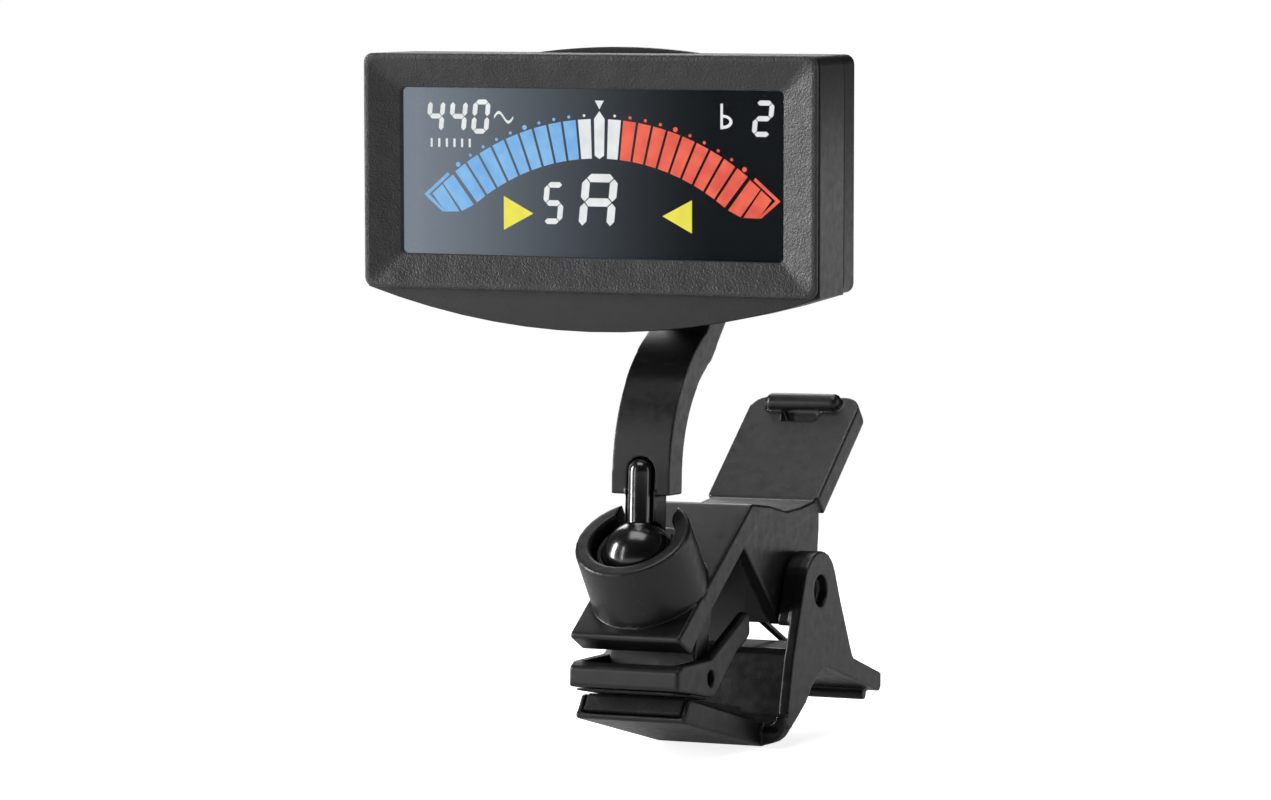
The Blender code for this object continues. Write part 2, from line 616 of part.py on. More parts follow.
def tilt_hinge(build):
    """Bracket on the head's back, its pin and two friction washers."""
    px, py, pz = PIN_IN_HEAD
    low = REAR_BACK + FIT
    base = block("tilt_bracket", (px - 5.3, low, pz - 2.0), (px + 5.3, low + 1.0, pz + 5.6), HEAD_FRAME)
    bracket = build.part(base, "black_plastic", 0.3)
    lug = [(low + 0.6, pz - 2.0)] + arc((py, pz), LUG_R, -90, 90, 10) + [(low + 0.6, pz + 4.2)]
    for sign in (-1, 1):
        inner, outer = sorted((sign * LUG_IN, sign * LUG_OUT))
        build.add(bracket, flat("lug", lug, px + inner, px + outer, HEAD_FRAME @ SIDE))
    axle = along_x(px, py, pz, HEAD_FRAME)
    build.cut(bracket, rod("tilt_bore", TILT_PIN_R + 0.04, -6, 6, axle, 24))
    for i, sign in enumerate((-1, 1)):
        x = px + sign * 3.7
        hole = along_depth(x, 0, pz + 4.3)
        build.cut(bracket, rod("screw_bore", 0.7, low - 1, low + 0.8, hole, 16))
        screw = [(0, low + 0.6), (0.6, low + 0.6), (0.6, REAR_BACK - WALL - FIT),
                 (1.2, REAR_BACK - WALL - FIT), (1.2, REAR_BACK - WALL - 0.9),
                 (0, REAR_BACK - WALL - 0.9)]
        build.part(turned(f"bracket_screw_{i + 1}", screw, hole, 16), "steel")
        ring = [(1.9, 0.2), (1.9, -0.2), (TILT_PIN_R + RUN, -0.2), (TILT_PIN_R + RUN, 0.2), (1.9, 0.2)]
        middle = (KNUCKLE_HALF + LUG_IN) / 2
        washer = along_x(px + sign * middle, py, pz, HEAD_FRAME)
        build.part(turned(f"friction_washer_{i + 1}", ring, washer, 24), "steel")
    build.part(rod("tilt_pin", TILT_PIN_R, -5.2, 5.2, axle, 24), "steel")


# -------------------------------------------------------------------- head --
def case_outline(inset=0.0):
    """Outline of the case from the front, whose bottom bulges down into a chin."""
    half_w = HEAD_W / 2 - inset
    half_h = HEAD_H / 2 - inset
    radius = max(CORNER - inset, 0.3)
    top = (arc((half_w - radius, half_h - radius), radius, 0, 90, 4)
           + arc((-half_w + radius, half_h - radius), radius, 90, 180, 4))
    bottom = []
    for i in range(CHIN_STEPS + 1):
        t = -1 + 2 * i / CHIN_STEPS
        bottom.append((t * half_w, -half_h - CHIN * (1 - t * t)))
    return top + bottom


def bezel(build):
    """Picture-frame bezel whose four faces slope down to the window."""
    half_w, half_h = HEAD_W / 2, HEAD_H / 2
    flange = face("bezel", rounded_box(half_w, half_h, CORNER), 0, BEZEL_FLANGE)
    frame = build.part(flange, "case_plastic", 0.3, 50)
    inner = rounded_box(half_w - 0.8, half_h - 0.8, CORNER)
    build.add(frame, face("bezel_body", inner, BEZEL_FLANGE - 0.3, BEZEL_BACK))
    slope = block("slope", (-half_w + 0.7, -0.5, -half_h + 0.7), (half_w - 0.7, BEZEL_SINK, half_h - 0.7),
                  HEAD_FRAME)
    rise = (BEZEL_SINK + 0.5) / BEZEL_SINK
    for vert in slope.data.vertices:
        wide = vert.co.y < 0
        sx = WINDOW_W / 2 + (half_w - 0.7 - WINDOW_W / 2) * (rise if wide else 0)
        sz = WINDOW_H / 2 + (half_h - 0.7 - WINDOW_H / 2) * (rise if wide else 0)
        vert.co.x = math.copysign(sx * MM, vert.co.x)
        vert.co.z = math.copysign(sz * MM, vert.co.z)
    build.cut(frame, slope)
    build.cut(frame, face("window", rounded_box(WINDOW_W / 2, WINDOW_H / 2, 0.6), -1, 3))


def front_case(build):
    case = build.part(face("front_case", case_outline(), CASE_FRONT, CASE_SPLIT), "case_plastic", 0.25, 50)
    rear_low = [(-40, -25), (40, -25), (40, -HEAD_H / 2), (-40, -HEAD_H / 2)]
    build.cut(case, face("chin_back", rear_low, CHIN_BACK, 15))
    build.cut(case, face("opening", rounded_box(HEAD_W / 2 - 0.65, HEAD_H / 2 - 0.65, CORNER), 0, 4))
    build.cut(case, face("hollow_front", case_outline(WALL), BEZEL_BACK + 1.0, CHIN_BACK - WALL))
    build.cut(case, face("hollow_back", rounded_box(HEAD_W / 2 - WALL, HEAD_H / 2 - WALL, 0.4), 4, 12))
    for x in (-SCREW_X, SCREW_X):
        for z in (-SCREW_Z, SCREW_Z):
            build.add(case, rod("boss", 2.1, 6.2, CASE_SPLIT - 0.05, along_depth(x, 0, z), 14))
            build.cut(case, rod("boss_bore", 0.9, 6.8, 12, along_depth(x, 0, z), 12))
    return case


def rear_case(build):
    half_w, half_h = HEAD_W / 2, HEAD_H / 2
    outline = rounded_box(half_w, half_h, CORNER)
    case = build.part(face("rear_case", outline, REAR_FRONT, REAR_BACK), "case_plastic", 0.7, 50)
    hollow = rounded_box(half_w - WALL, half_h - WALL, 0.5)
    build.cut(case, face("hollow", hollow, REAR_FRONT - 1, REAR_BACK - WALL))
    centre = along_depth(CELL_X, 0, 0)
    build.add(case, rod("cell_ring", COVER_R + 1.1, 8.3, REAR_BACK - 0.8, centre, 32))
    build.cut(case, rod("cover_room", COVER_R + 0.2, REAR_BACK - 1.45, 15, centre, 32))
    build.cut(case, rod("cell_room", CELL_R + 0.45, 8.0, 15, centre, 32))
    edge = CELL_X + CELL_R
    build.cut(case, block("contact_slot", (edge - 0.5, 8.0, -2.6), (edge + 3, 10.5, 2.6), HEAD_FRAME))
    for x in BUTTON_X:
        build.cut(case, rod("button_hole", BUTTON_R + FIT, 10, 15, along_depth(x, 0, BUTTON_Z), 20))
    for x in (-SCREW_X, SCREW_X):
        for z in (-SCREW_Z, SCREW_Z):
            hole = along_depth(x, 0, z)
            build.add(case, rod("post", 2.1, REAR_FRONT + 0.05, REAR_BACK - 0.6, hole, 14))
            build.cut(case, rod("screw_hole", 0.95, 8, 15, hole, 12))
            build.cut(case, rod("screw_sink", 1.8, REAR_BACK - 1.2, 15, hole, 16))
    px, _, pz = PIN_IN_HEAD
    for sign in (-1, 1):
        hole = along_depth(px + sign * 3.7, 0, pz + 4.3)
        build.cut(case, rod("bracket_hole", 0.75, 10, 15, hole, 16))
    slot = [(-POWER_CHORD / 2 - FIT, half_h - 2.4), (POWER_CHORD / 2 + FIT, half_h - 2.4),
            (POWER_CHORD / 2 + FIT, half_h + 2), (-POWER_CHORD / 2 - FIT, half_h + 2)]
    build.cut(case, face("power_slot", slot, 9.9 - FIT, 11.3 + FIT))
    return case


def power_button(build):
    """Long bar on top of the case, crowned so that its middle stands proud."""
    half = POWER_CHORD / 2
    crown = []
    for i in range(15):
        t = 1 - 2 * i / 14
        crown.append((t * half, HEAD_H / 2 - 0.05 + (POWER_RISE + 0.05) * (1 - t * t)))
    outline = crown + [(-half, HEAD_H / 2 - 0.9), (half, HEAD_H / 2 - 0.9)]
    button = build.part(face("power_button", outline, 9.9, 11.3), "case_plastic", 0.12, 50)
    stem = [(-1.2, HEAD_H / 2 - 2.2), (1.2, HEAD_H / 2 - 2.2), (1.2, HEAD_H / 2 - 0.5),
            (-1.2, HEAD_H / 2 - 0.5)]
    build.add(button, face("stem", stem, 10.1, 11.1))
    top = HEAD_H / 2 - 2.2 - PRESS - 0.1
    switch = block("power_switch", (-2.2, BOARD_BACK + 0.1, top - 3.2), (2.2, 10.9, top), HEAD_FRAME)
    build.part(switch, "steel", 0.15)


def rear_buttons(build):
    for name, x in zip(("calibration_button", "instrument_button", "flat_button"), BUTTON_X):
        front = 9.0
        cap = [(0, REAR_BACK + 0.5), (BUTTON_R - 0.4, REAR_BACK + 0.5), (BUTTON_R, REAR_BACK + 0.2),
               (BUTTON_R, REAR_BACK - WALL - FIT), (BUTTON_R + 0.5, REAR_BACK - WALL - FIT),
               (BUTTON_R + 0.5, REAR_BACK - WALL - 0.8), (0.9, REAR_BACK - WALL - 0.8),
               (0.9, front), (0, front)]
        build.part(turned(name, cap, along_depth(x, 0, BUTTON_Z), 20), "rubber")
        switch = block(name.replace("button", "switch"), (x - 1.9, BOARD_BACK + 0.1, BUTTON_Z - 1.9),
                       (x + 1.9, 8.3, BUTTON_Z + 1.9), HEAD_FRAME)
        build.part(switch, "steel", 0.15)


def display(build):
    """Window, glass, light guide, connector strip and board, front to back."""
    stack = (
        ("display_window", 26.6, 11.3, 1.95, 2.7, "lens"),
        ("lcd_glass", 27.6, 11.9, 2.85, 4.45, "lcd"),
        ("backlight_guide", 26.4, 9.6, 4.6, 5.9, "diffuser"),
        ("circuit_board", 23.8, 12.3, BOARD_BACK - 1.0, BOARD_BACK, "board_green"),
    )
    for name, half_x, half_z, front, back, material in stack:
        build.part(face(name, rounded_box(half_x, half_z, 0.5, 2), front, back), material)
    build.part(block("connector_strip", (-22, 4.6, -11.7), (22, 6.15, -10.1), HEAD_FRAME), "rubber")
    chip = block("tuner_chip", (11.0, BOARD_BACK + 0.1, -9.2), (18.0, 8.3, -2.2), HEAD_FRAME)
    build.part(chip, "chip", 0.1)
    crystal = rod("quartz_crystal", 0.8, -2.6, 2.6, along_x(6.5, 8.25, -6.0, HEAD_FRAME), 16)
    build.part(crystal, "steel")
    build.part(rod("piezo_sensor", 4.6, 10.6, 11.15, along_depth(19.5, 0, -6.6), 32), "brass")


def battery(build):
    centre = along_depth(CELL_X, 0, 0)
    front = BOARD_BACK + 0.75
    high = front + CELL_THICK
    cell = [(0, high), (CELL_R - 0.35, high), (CELL_R, high - 0.35), (CELL_R, front + 0.7),
            (CELL_R - 1.0, front + 0.5), (CELL_R - 1.2, front), (0, front)]
    build.part(turned("coin_cell", cell, centre, 32), "steel")
    base = high + FIT
    cover = [(0, REAR_BACK), (COVER_R - 0.3, REAR_BACK), (COVER_R, REAR_BACK - 0.3), (COVER_R, base),
             (0, base)]
    lid = build.part(turned("battery_cover", cover, centre, 32), "case_plastic")
    build.cut(lid, block("coin_slot", (-4.5, -0.8, REAR_BACK - 0.7), (4.5, 0.8, REAR_BACK + 1), centre))
    low = BOARD_BACK + 0.12
    leaf = block("negative_contact", (CELL_X - 4, low, -1.6), (CELL_X + 4, low + 0.4, 1.6), HEAD_FRAME)
    build.part(leaf, "brass")
    edge = CELL_X + CELL_R
    clip = block("positive_contact", (edge + 0.2, low, -2.2), (edge + 0.6, 10.2, 2.2), HEAD_FRAME)
    build.part(clip, "brass")


def case_screws(build):
    head = REAR_BACK - 0.25
    profile = [(0, head), (1.6, head), (1.6, head - 0.8), (0.8, head - 0.8), (0.8, 7.2), (0, 6.9)]
    corners = [(x, z) for z in (SCREW_Z, -SCREW_Z) for x in (-SCREW_X, SCREW_X)]
    for i, (x, z) in enumerate(corners):
        screw = turned(f"case_screw_{i + 1}", profile, along_depth(x, 0, z), 12)
        build.part(screw, "steel")
        build.cut(screw, block("drive", (-1.1, -0.2, head - 0.4), (1.1, 0.2, head + 1),
                               along_depth(x, 0, z)))


def shade_round_pieces(parts):
    for obj in parts.objects:
        if obj.type == "MESH":
            obj.data.shade_smooth()
            obj.data.set_sharp_from_angle(angle=math.radians(35))


def main():
    clear_scene()
    build = Builder()
    upper_lever(build)
    pad_carrier(build)
    upper_jaw_pad(build)
    lower_lever(build)
    lower_jaw_pad(build)
    pins(build)
    torsion_spring(build)
    ball_seat(build)
    ball_stud(build)
    arm(build)
    tilt_hinge(build)
    bezel(build)
    front_case(build)
    rear_case(build)
    power_button(build)
    rear_buttons(build)
    display(build)
    battery(build)
    case_screws(build)
    shade_round_pieces(build.parts)


main()
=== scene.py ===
"""Looks of the clip-on tuner: fine meshes and procedural materials around its CAD nodes."""
import json
import math

import bmesh
import bpy
from mathutils import Matrix, Vector

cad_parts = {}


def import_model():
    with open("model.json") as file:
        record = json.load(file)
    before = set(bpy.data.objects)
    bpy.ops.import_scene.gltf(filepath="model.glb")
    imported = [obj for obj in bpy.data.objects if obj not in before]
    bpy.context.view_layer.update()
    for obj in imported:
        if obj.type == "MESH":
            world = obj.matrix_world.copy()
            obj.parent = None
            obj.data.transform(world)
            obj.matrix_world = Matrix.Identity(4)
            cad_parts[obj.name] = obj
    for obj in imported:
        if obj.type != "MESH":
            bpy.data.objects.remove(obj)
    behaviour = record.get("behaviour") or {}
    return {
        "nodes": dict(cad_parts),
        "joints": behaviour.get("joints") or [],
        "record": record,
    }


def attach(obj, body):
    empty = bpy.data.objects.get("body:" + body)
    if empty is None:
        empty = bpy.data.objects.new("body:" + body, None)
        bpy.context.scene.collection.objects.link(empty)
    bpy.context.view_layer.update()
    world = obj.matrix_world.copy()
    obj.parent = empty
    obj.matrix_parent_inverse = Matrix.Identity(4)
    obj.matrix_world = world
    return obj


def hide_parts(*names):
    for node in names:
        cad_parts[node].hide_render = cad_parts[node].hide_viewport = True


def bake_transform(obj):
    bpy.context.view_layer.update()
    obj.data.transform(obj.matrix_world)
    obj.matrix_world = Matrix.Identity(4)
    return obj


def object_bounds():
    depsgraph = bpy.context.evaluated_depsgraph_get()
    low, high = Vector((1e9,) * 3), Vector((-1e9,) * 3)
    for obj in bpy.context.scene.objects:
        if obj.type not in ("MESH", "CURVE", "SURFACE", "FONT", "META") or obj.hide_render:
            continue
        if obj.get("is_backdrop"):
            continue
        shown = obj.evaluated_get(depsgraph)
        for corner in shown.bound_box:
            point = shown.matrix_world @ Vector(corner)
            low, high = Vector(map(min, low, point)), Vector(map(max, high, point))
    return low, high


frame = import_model()
cad_low, cad_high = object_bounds()

MM = 0.001
WELD = 0.00001
CRISP = 38          # edges sharper than this, in degrees, are not shaded smooth
BODY_OF = {node: body for body, nodes in frame["record"]["behaviour"]["bodies"].items() for node in nodes}
SLOT_OF = {entry["node"]: entry["material_slot"] for entry in frame["record"]["subparts"]}
JOINT = {joint["name"]: joint for joint in frame["joints"]}
PIVOT = Vector(JOINT["jaw_open"]["pos_m"])
BALL = Vector(JOINT["ball_tilt"]["pos_m"])

# --- head, in its own frame: x right, y back, z up, in millimetres --------------
HEAD_FROM_PIVOT = Vector((-6.9, -30.9, 52.8)) * MM
YAW = math.radians(3.26)
NOD = math.radians(2.77)
ROLL = math.radians(1.14)
HEAD_TURN = (Matrix.Rotation(YAW, 4, "Z") @ Matrix.Rotation(NOD, 4, "X")
             @ Matrix.Rotation(ROLL, 4, "Y"))
HEAD = Matrix.Translation(PIVOT + HEAD_FROM_PIVOT) @ HEAD_TURN
ARM = Matrix.Translation(BALL) @ HEAD_TURN @ Matrix.Rotation(-NOD, 4, "X")
HEAD_X = HEAD_TURN.col[0].to_3d()
HALF_W, HALF_H = 30.3, 14.6
CORNER = 1.2
WINDOW = (25.6, 10.35)
SCREW_X, SCREW_Z = 26.9, 11.4
SCREW_HEAD, SCREW_SEAT = 12.55, 6.9      # depths of a case screw's two ends

# --- camera and light -------------------------------------------------------------
AZIMUTH = math.radians(26.5)
ELEVATION = math.radians(2.5)
CAMERA_FROM_PIVOT = Vector((0.2447, -0.5218, 0.0492))
LENS = 127.5


# ------------------------------------------------------------------ materials --
class Nodes:
    """A material's node tree, built by short calls."""

    def __init__(self, name):
        self.material = bpy.data.materials.new(name)
        self.material.use_nodes = True
        self.tree = self.material.node_tree
        self.shader = self.tree.nodes["Principled BSDF"]
        self.output = self.tree.nodes["Material Output"]

    def add(self, kind, **settings):
        node = self.tree.nodes.new(kind)
        for key, value in settings.items():
            setattr(node, key, value)
        return node

    def link(self, source, target):
        self.tree.links.new(source, target)
        return target

    def coordinates(self):
        return self.add("ShaderNodeTexCoord").outputs["Object"]

    def noise(self, size, detail=2.0, stretch=None):
        """Noise whose features are about size metres wide; stretch scales x, y, z first."""
        vector = self.coordinates()
        if stretch:
            mapping = self.add("ShaderNodeMapping")
            mapping.inputs["Scale"].default_value = stretch
            self.link(vector, mapping.inputs["Vector"])
            vector = mapping.outputs["Vector"]
        node = self.add("ShaderNodeTexNoise")
        node.inputs["Scale"].default_value = 1 / size
        node.inputs["Detail"].default_value = detail
        self.link(vector, node.inputs["Vector"])
        return node.outputs["Fac"]

    def spread(self, value, low, high, start=0.3, end=0.7):
        """Maps value from start..end to low..high."""
        node = self.add("ShaderNodeMapRange")
        for key, number in (("From Min", start), ("From Max", end), ("To Min", low), ("To Max", high)):
            node.inputs[key].default_value = number
        self.link(value, node.inputs["Value"])
        return node.outputs["Result"]

    def mix(self, factor, first, second):
        node = self.add("ShaderNodeMix", data_type="RGBA")
        for socket, value in ((node.inputs[6], first), (node.inputs[7], second)):
            if isinstance(value, tuple):
                socket.default_value = (*value, 1)
            else:
                self.link(value, socket)
        if isinstance(factor, float):
            node.inputs[0].default_value = factor
        else:
            self.link(factor, node.inputs[0])
        return node.outputs[2]

    def edges(self, start=0.52, end=0.62):
        """Near one on worn convex edges, zero elsewhere."""
        geometry = self.add("ShaderNodeNewGeometry")
        return self.spread(geometry.outputs["Pointiness"], 0.0, 1.0, start, end)

    def bump(self, height, depth, before=None):
        node = self.add("ShaderNodeBump")
        node.inputs["Strength"].default_value = 1.0
        node.inputs["Distance"].default_value = depth
        self.link(height, node.inputs["Height"])
        if before is not None:
            self.link(before, node.inputs["Normal"])
        return node.outputs["Normal"]

    def finish(self, colour, roughness, normal=None, **values):
        for socket, source in (("Base Color", colour), ("Roughness", roughness), ("Normal", normal)):
            if source is not None:
                self.link(source, self.shader.inputs[socket])
        for key, value in values.items():
            self.shader.inputs[key.replace("_", " ")].default_value = value
        return self.material


def plastic(name, dark, light, rough, grain=0.00016, grain_depth=0.000012, wear=0.35, coat=0.0):
    """Moulded plastic: mottled colour, uneven sheen, spark-eroded grain and rubbed edges."""
    n = Nodes(name)
    mottle = n.mix(n.spread(n.noise(0.004, 3.0), 0.0, 1.0), dark, light)
    worn = tuple(min(1.0, c * 2.2 + 0.02) for c in light)
    edge = n.add("ShaderNodeMath", operation="MULTIPLY")
    n.link(n.edges(), edge.inputs[0])
    edge.inputs[1].default_value = wear
    colour = n.mix(edge.outputs[0], mottle, worn)
    sheen = n.spread(n.noise(0.0012, 4.0), rough[0], rough[1])
    soft = n.bump(n.noise(0.0025, 1.0), grain_depth * 1.6)
    normal = n.bump(n.noise(grain, 1.0), grain_depth, soft)
    return n.finish(colour, sheen, normal, Coat_Weight=coat, Coat_Roughness=0.2)


def metal(name, dark, light, rough, stretch=(1, 1, 1)):
    """Plated or rolled metal with fine drawn lines."""
    n = Nodes(name)
    lines = n.noise(0.0004, 2.0, stretch)
    colour = n.mix(n.spread(lines, 0.0, 1.0), dark, light)
    sheen = n.spread(n.noise(0.0008, 3.0), rough[0], rough[1])
    return n.finish(colour, sheen, n.bump(lines, 0.000006), Metallic=1.0)


def rubber(name):
    n = Nodes(name)
    colour = n.mix(n.spread(n.noise(0.003, 3.0), 0.0, 1.0), (0.010, 0.010, 0.011), (0.022, 0.022, 0.023))
    sheen = n.spread(n.noise(0.0006, 2.0), 0.62, 0.85)
    normal = n.bump(n.noise(0.0007, 2.0), 0.00005, n.bump(n.noise(0.00015, 1.0), 0.00002))
    return n.finish(colour, sheen, normal, Specular_IOR_Level=0.35)


def clear_window():
    """Thin clear cover: lets the display through and mirrors a little of the studio."""
    n = Nodes("clear_window")
    through = n.add("ShaderNodeBsdfTransparent")
    gloss = n.add("ShaderNodeBsdfGlossy")
    n.link(n.spread(n.noise(0.004, 2.0), 0.02, 0.06), gloss.inputs["Roughness"])
    fresnel = n.add("ShaderNodeFresnel")
    fresnel.inputs["IOR"].default_value = 1.10
    blend = n.add("ShaderNodeMixShader")
    half = n.add("ShaderNodeMath", operation="MULTIPLY")
    n.link(fresnel.outputs[0], half.inputs[0])
    half.inputs[1].default_value = 0.5
    n.link(half.outputs[0], blend.inputs[0])
    n.link(through.outputs[0], blend.inputs[1])
    n.link(gloss.outputs[0], blend.inputs[2])
    n.link(blend.outputs[0], n.output.inputs["Surface"])
    return n.material


def along(n, direction, low, high):
    """How far a point lies along a direction of the head, from 0 at low to 1 at high (metres)."""
    origin = HEAD.translation
    dot = n.add("ShaderNodeVectorMath", operation="DOT_PRODUCT")
    n.link(n.coordinates(), dot.inputs[0])
    dot.inputs[1].default_value = direction
    offset = origin.dot(direction)
    return n.spread(dot.outputs["Value"], 0.0, 1.0, low + offset, high + offset)


DISPLAY_PAINTED_REFLECTION = (0.223, 0.262, 0.312)      # painted reflection: the colour emitted at the display's left end
DISPLAY_DARK = (0.002, 0.004, 0.0055)      # and at its right end
PAINTED_REFLECTION_REACH = (-0.025, 0.017)              # where the painted reflection starts and has faded out
PAINTED_REFLECTION_FALL = 1.8                           # how fast it fades


def display_glass():
    """Dark liquid crystal glass with a painted reflection: a grey-blue glow emitted from its left end, fading
    to the right.
    """
    n = Nodes("display_glass")
    start, end = PAINTED_REFLECTION_REACH
    left = n.spread(along(n, HEAD_X, start, end), 1.0, 0.0, 0.0, 1.0)
    fade = n.add("ShaderNodeMath", operation="POWER")
    n.link(left, fade.inputs[0])
    fade.inputs[1].default_value = PAINTED_REFLECTION_FALL
    # painted reflection, emitted by the glass and fading from its left end
    painted_reflection = n.mix(fade.outputs[0], DISPLAY_DARK, DISPLAY_PAINTED_REFLECTION)
    cells = n.mix(n.spread(n.noise(0.0005, 2.0), 0.0, 0.06), painted_reflection, (0.03, 0.035, 0.04))
    n.link(cells, n.shader.inputs["Emission Color"])
    dark = n.mix(0.99, cells, (0.0, 0.0, 0.0))
    sheen = n.spread(n.noise(0.002, 2.0), 0.30, 0.42)
    return n.finish(dark, sheen, n.bump(n.noise(0.003, 1.0), 0.000001), Specular_IOR_Level=0.06,
                    Emission_Strength=0.9)


def lit_mark(name, colour, deep, strength):
    """A lit mark on the display, slightly uneven like printed film over a lamp."""
    n = Nodes(name)
    mixed = n.mix(n.spread(n.noise(0.0022, 2.0), 0.0, 1.0, 0.35, 0.65), colour, deep)
    n.link(mixed, n.shader.inputs["Emission Color"])
    dim = n.mix(0.6, mixed, (0.0, 0.0, 0.0))
    return n.finish(dim, n.spread(n.noise(0.001), 0.4, 0.5), Emission_Strength=strength)


def solder_mask():
    n = Nodes("solder_mask")
    tracks = n.add("ShaderNodeTexBrick")
    tracks.inputs["Scale"].default_value = 260
    n.link(n.coordinates(), tracks.inputs["Vector"])
    tracks.inputs["Color1"].default_value = (0.010, 0.085, 0.040, 1)
    tracks.inputs["Color2"].default_value = (0.014, 0.105, 0.050, 1)
    tracks.inputs["Mortar"].default_value = (0.020, 0.150, 0.070, 1)
    sheen = n.spread(n.noise(0.001), 0.25, 0.4)
    return n.finish(tracks.outputs["Color"], sheen, n.bump(tracks.outputs["Fac"], 0.00002))


def milky():
    n = Nodes("light_guide")
    colour = n.mix(n.spread(n.noise(0.002), 0.0, 1.0), (0.78, 0.80, 0.84), (0.88, 0.90, 0.92))
    return n.finish(colour, n.spread(n.noise(0.001), 0.35, 0.5), n.bump(n.noise(0.0005), 0.00001))


def make_looks():
    return {
        "bezel": plastic("bezel_plastic", (0.022, 0.022, 0.024), (0.032, 0.032, 0.034), (0.40, 0.50),
                         0.00026, 0.00008, wear=0.15),
        "case": plastic("case_texture", (0.005, 0.005, 0.006), (0.008, 0.008, 0.009), (0.38, 0.48),
                        0.00022, 0.000016, wear=0.10),
        "clip": plastic("clip_satin", (0.006, 0.006, 0.0065), (0.009, 0.009, 0.010), (0.30, 0.42),
                        0.00024, 0.000008),
        "gloss": plastic("polished_black", (0.004, 0.004, 0.004), (0.007, 0.007, 0.007), (0.16, 0.24),
                         0.0003, 0.000002, coat=1.0),
        # dark liner plastic of the ball seat, also used on the spring wall as painted shade
        "liner_and_painted_shade": plastic("liner_black", (0.003, 0.003, 0.003), (0.005, 0.005, 0.005), (0.55, 0.65), wear=0.0),
        "chip": plastic("chip_epoxy", (0.010, 0.010, 0.010), (0.016, 0.016, 0.016), (0.45, 0.55)),
        "rubber": rubber("soft_rubber"),
        "window": clear_window(),
        "glass": display_glass(),
        "board": solder_mask(),
        "guide": milky(),
        "steel": metal("plated_steel", (0.42, 0.42, 0.43), (0.60, 0.60, 0.61), (0.22, 0.36)),
        "spring": metal("spring_wire", (0.045, 0.045, 0.047), (0.085, 0.085, 0.088), (0.28, 0.42)),
        "dark_steel": metal("blackened_steel", (0.05, 0.05, 0.052), (0.10, 0.10, 0.10), (0.25, 0.4)),
        "brass": metal("rolled_brass", (0.50, 0.36, 0.14), (0.66, 0.50, 0.24), (0.25, 0.4)),
        "blue": lit_mark("lit_blue", (0.18, 0.41, 0.69), (0.13, 0.34, 0.66), 0.85),
        "red": lit_mark("lit_red", (0.72, 0.105, 0.055), (0.60, 0.060, 0.035), 0.9),
        "yellow": lit_mark("lit_yellow", (0.72, 0.66, 0.060), (0.65, 0.59, 0.045), 0.9),
        "white": lit_mark("lit_white", (0.68, 0.70, 0.71), (0.60, 0.62, 0.63), 0.9),
    }


LOOK_OF_SLOT = {
    "case_plastic": "case", "black_plastic": "liner_and_painted_shade", "clip_plastic": "clip", "rubber": "rubber",
    "lens": "window", "lcd": "glass", "diffuser": "guide", "board_green": "board", "chip": "chip",
    "steel": "steel", "brass": "brass",
}
looks = make_looks()


# -------------------------------------------------------------- mesh helpers --
def new_object(name, mesh, look, place=None):
    obj = bpy.data.objects.new(name, mesh)
    bpy.context.scene.collection.objects.link(obj)
    if place is not None:
        obj.data.transform(place)
    obj.data.materials.clear()
    obj.data.materials.append(looks[look])
    obj.data.shade_smooth()
    return obj


def stand_for(obj, *nodes):
    """obj is shown in place of CAD nodes, on their body."""
    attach(obj, BODY_OF[nodes[0]])
    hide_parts(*nodes)
    return obj


def detail(obj, body, slot):
    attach(obj, body)
    return obj


def welded(node):
    """A clean copy of a CAD node's mesh, with its flat faces whole again."""
    bm = bmesh.new()
    bm.from_mesh(frame["nodes"][node].data)
    bmesh.ops.remove_doubles(bm, verts=bm.verts, dist=WELD)
    bmesh.ops.recalc_face_normals(bm, faces=bm.faces)
    bm.verts.index_update()
    mesh = bpy.data.meshes.new(node + "_look")
    mesh.from_pydata([v.co[:] for v in bm.verts], [], [[v.index for v in f.verts] for f in bm.faces])
    bm.free()
    return mesh


def baked(obj):
    """obj with its modifiers turned into plain mesh."""
    graph = bpy.context.evaluated_depsgraph_get()
    mesh = bpy.data.meshes.new_from_object(obj.evaluated_get(graph), depsgraph=graph)
    obj.modifiers.clear()
    obj.data = mesh
    return obj


def moulded(node, look, voxel=0.16, passes=6, keep=0.4, more=(), source=None, cuts=(), after=None):
    """A CAD solid, or finer pieces in its place, as one soft-edged moulding.

    It is refined to small cells, relaxed and thinned; after may move its vertices in between.
    """
    obj = new_object(node + "_look", source or welded(node), look)
    for tool in cuts:
        cut = obj.modifiers.new("cut", "BOOLEAN")
        cut.operation = "DIFFERENCE"
        cut.solver = "EXACT"
        cut.object = tool
    if cuts:
        baked(obj)
        for tool in cuts:
            bpy.data.objects.remove(tool)
    if more:
        obj = joined(obj.name, [obj, *more])
    size = voxel * 1.0
    remesh = obj.modifiers.new("cells", "REMESH")
    remesh.mode = "VOXEL"
    remesh.voxel_size = size * MM
    remesh.use_smooth_shade = True
    relax = obj.modifiers.new("relax", "SMOOTH")
    relax.factor = 0.5
    relax.iterations = passes
    if after:
        baked(obj)
        after(obj)
    thin = obj.modifiers.new("thin", "DECIMATE")
    thin.ratio = keep
    baked(obj)
    obj.data.shade_smooth()
    return stand_for(obj, node)


def bevelled(node, look, width, segments=3, angle=32):
    """A CAD solid with its sharp edges rounded."""
    obj = new_object(node + "_look", welded(node), look)
    flat = obj.modifiers.new("flat", "DECIMATE")
    flat.decimate_type = "DISSOLVE"
    flat.angle_limit = math.radians(0.8)
    edge = obj.modifiers.new("edges", "BEVEL")
    edge.width = width * MM
    edge.segments = segments
    edge.limit_method = "ANGLE"
    edge.angle_limit = math.radians(angle)
    edge.use_clamp_overlap = True
    edge.harden_normals = True
    baked(obj)
    return stand_for(obj, node)


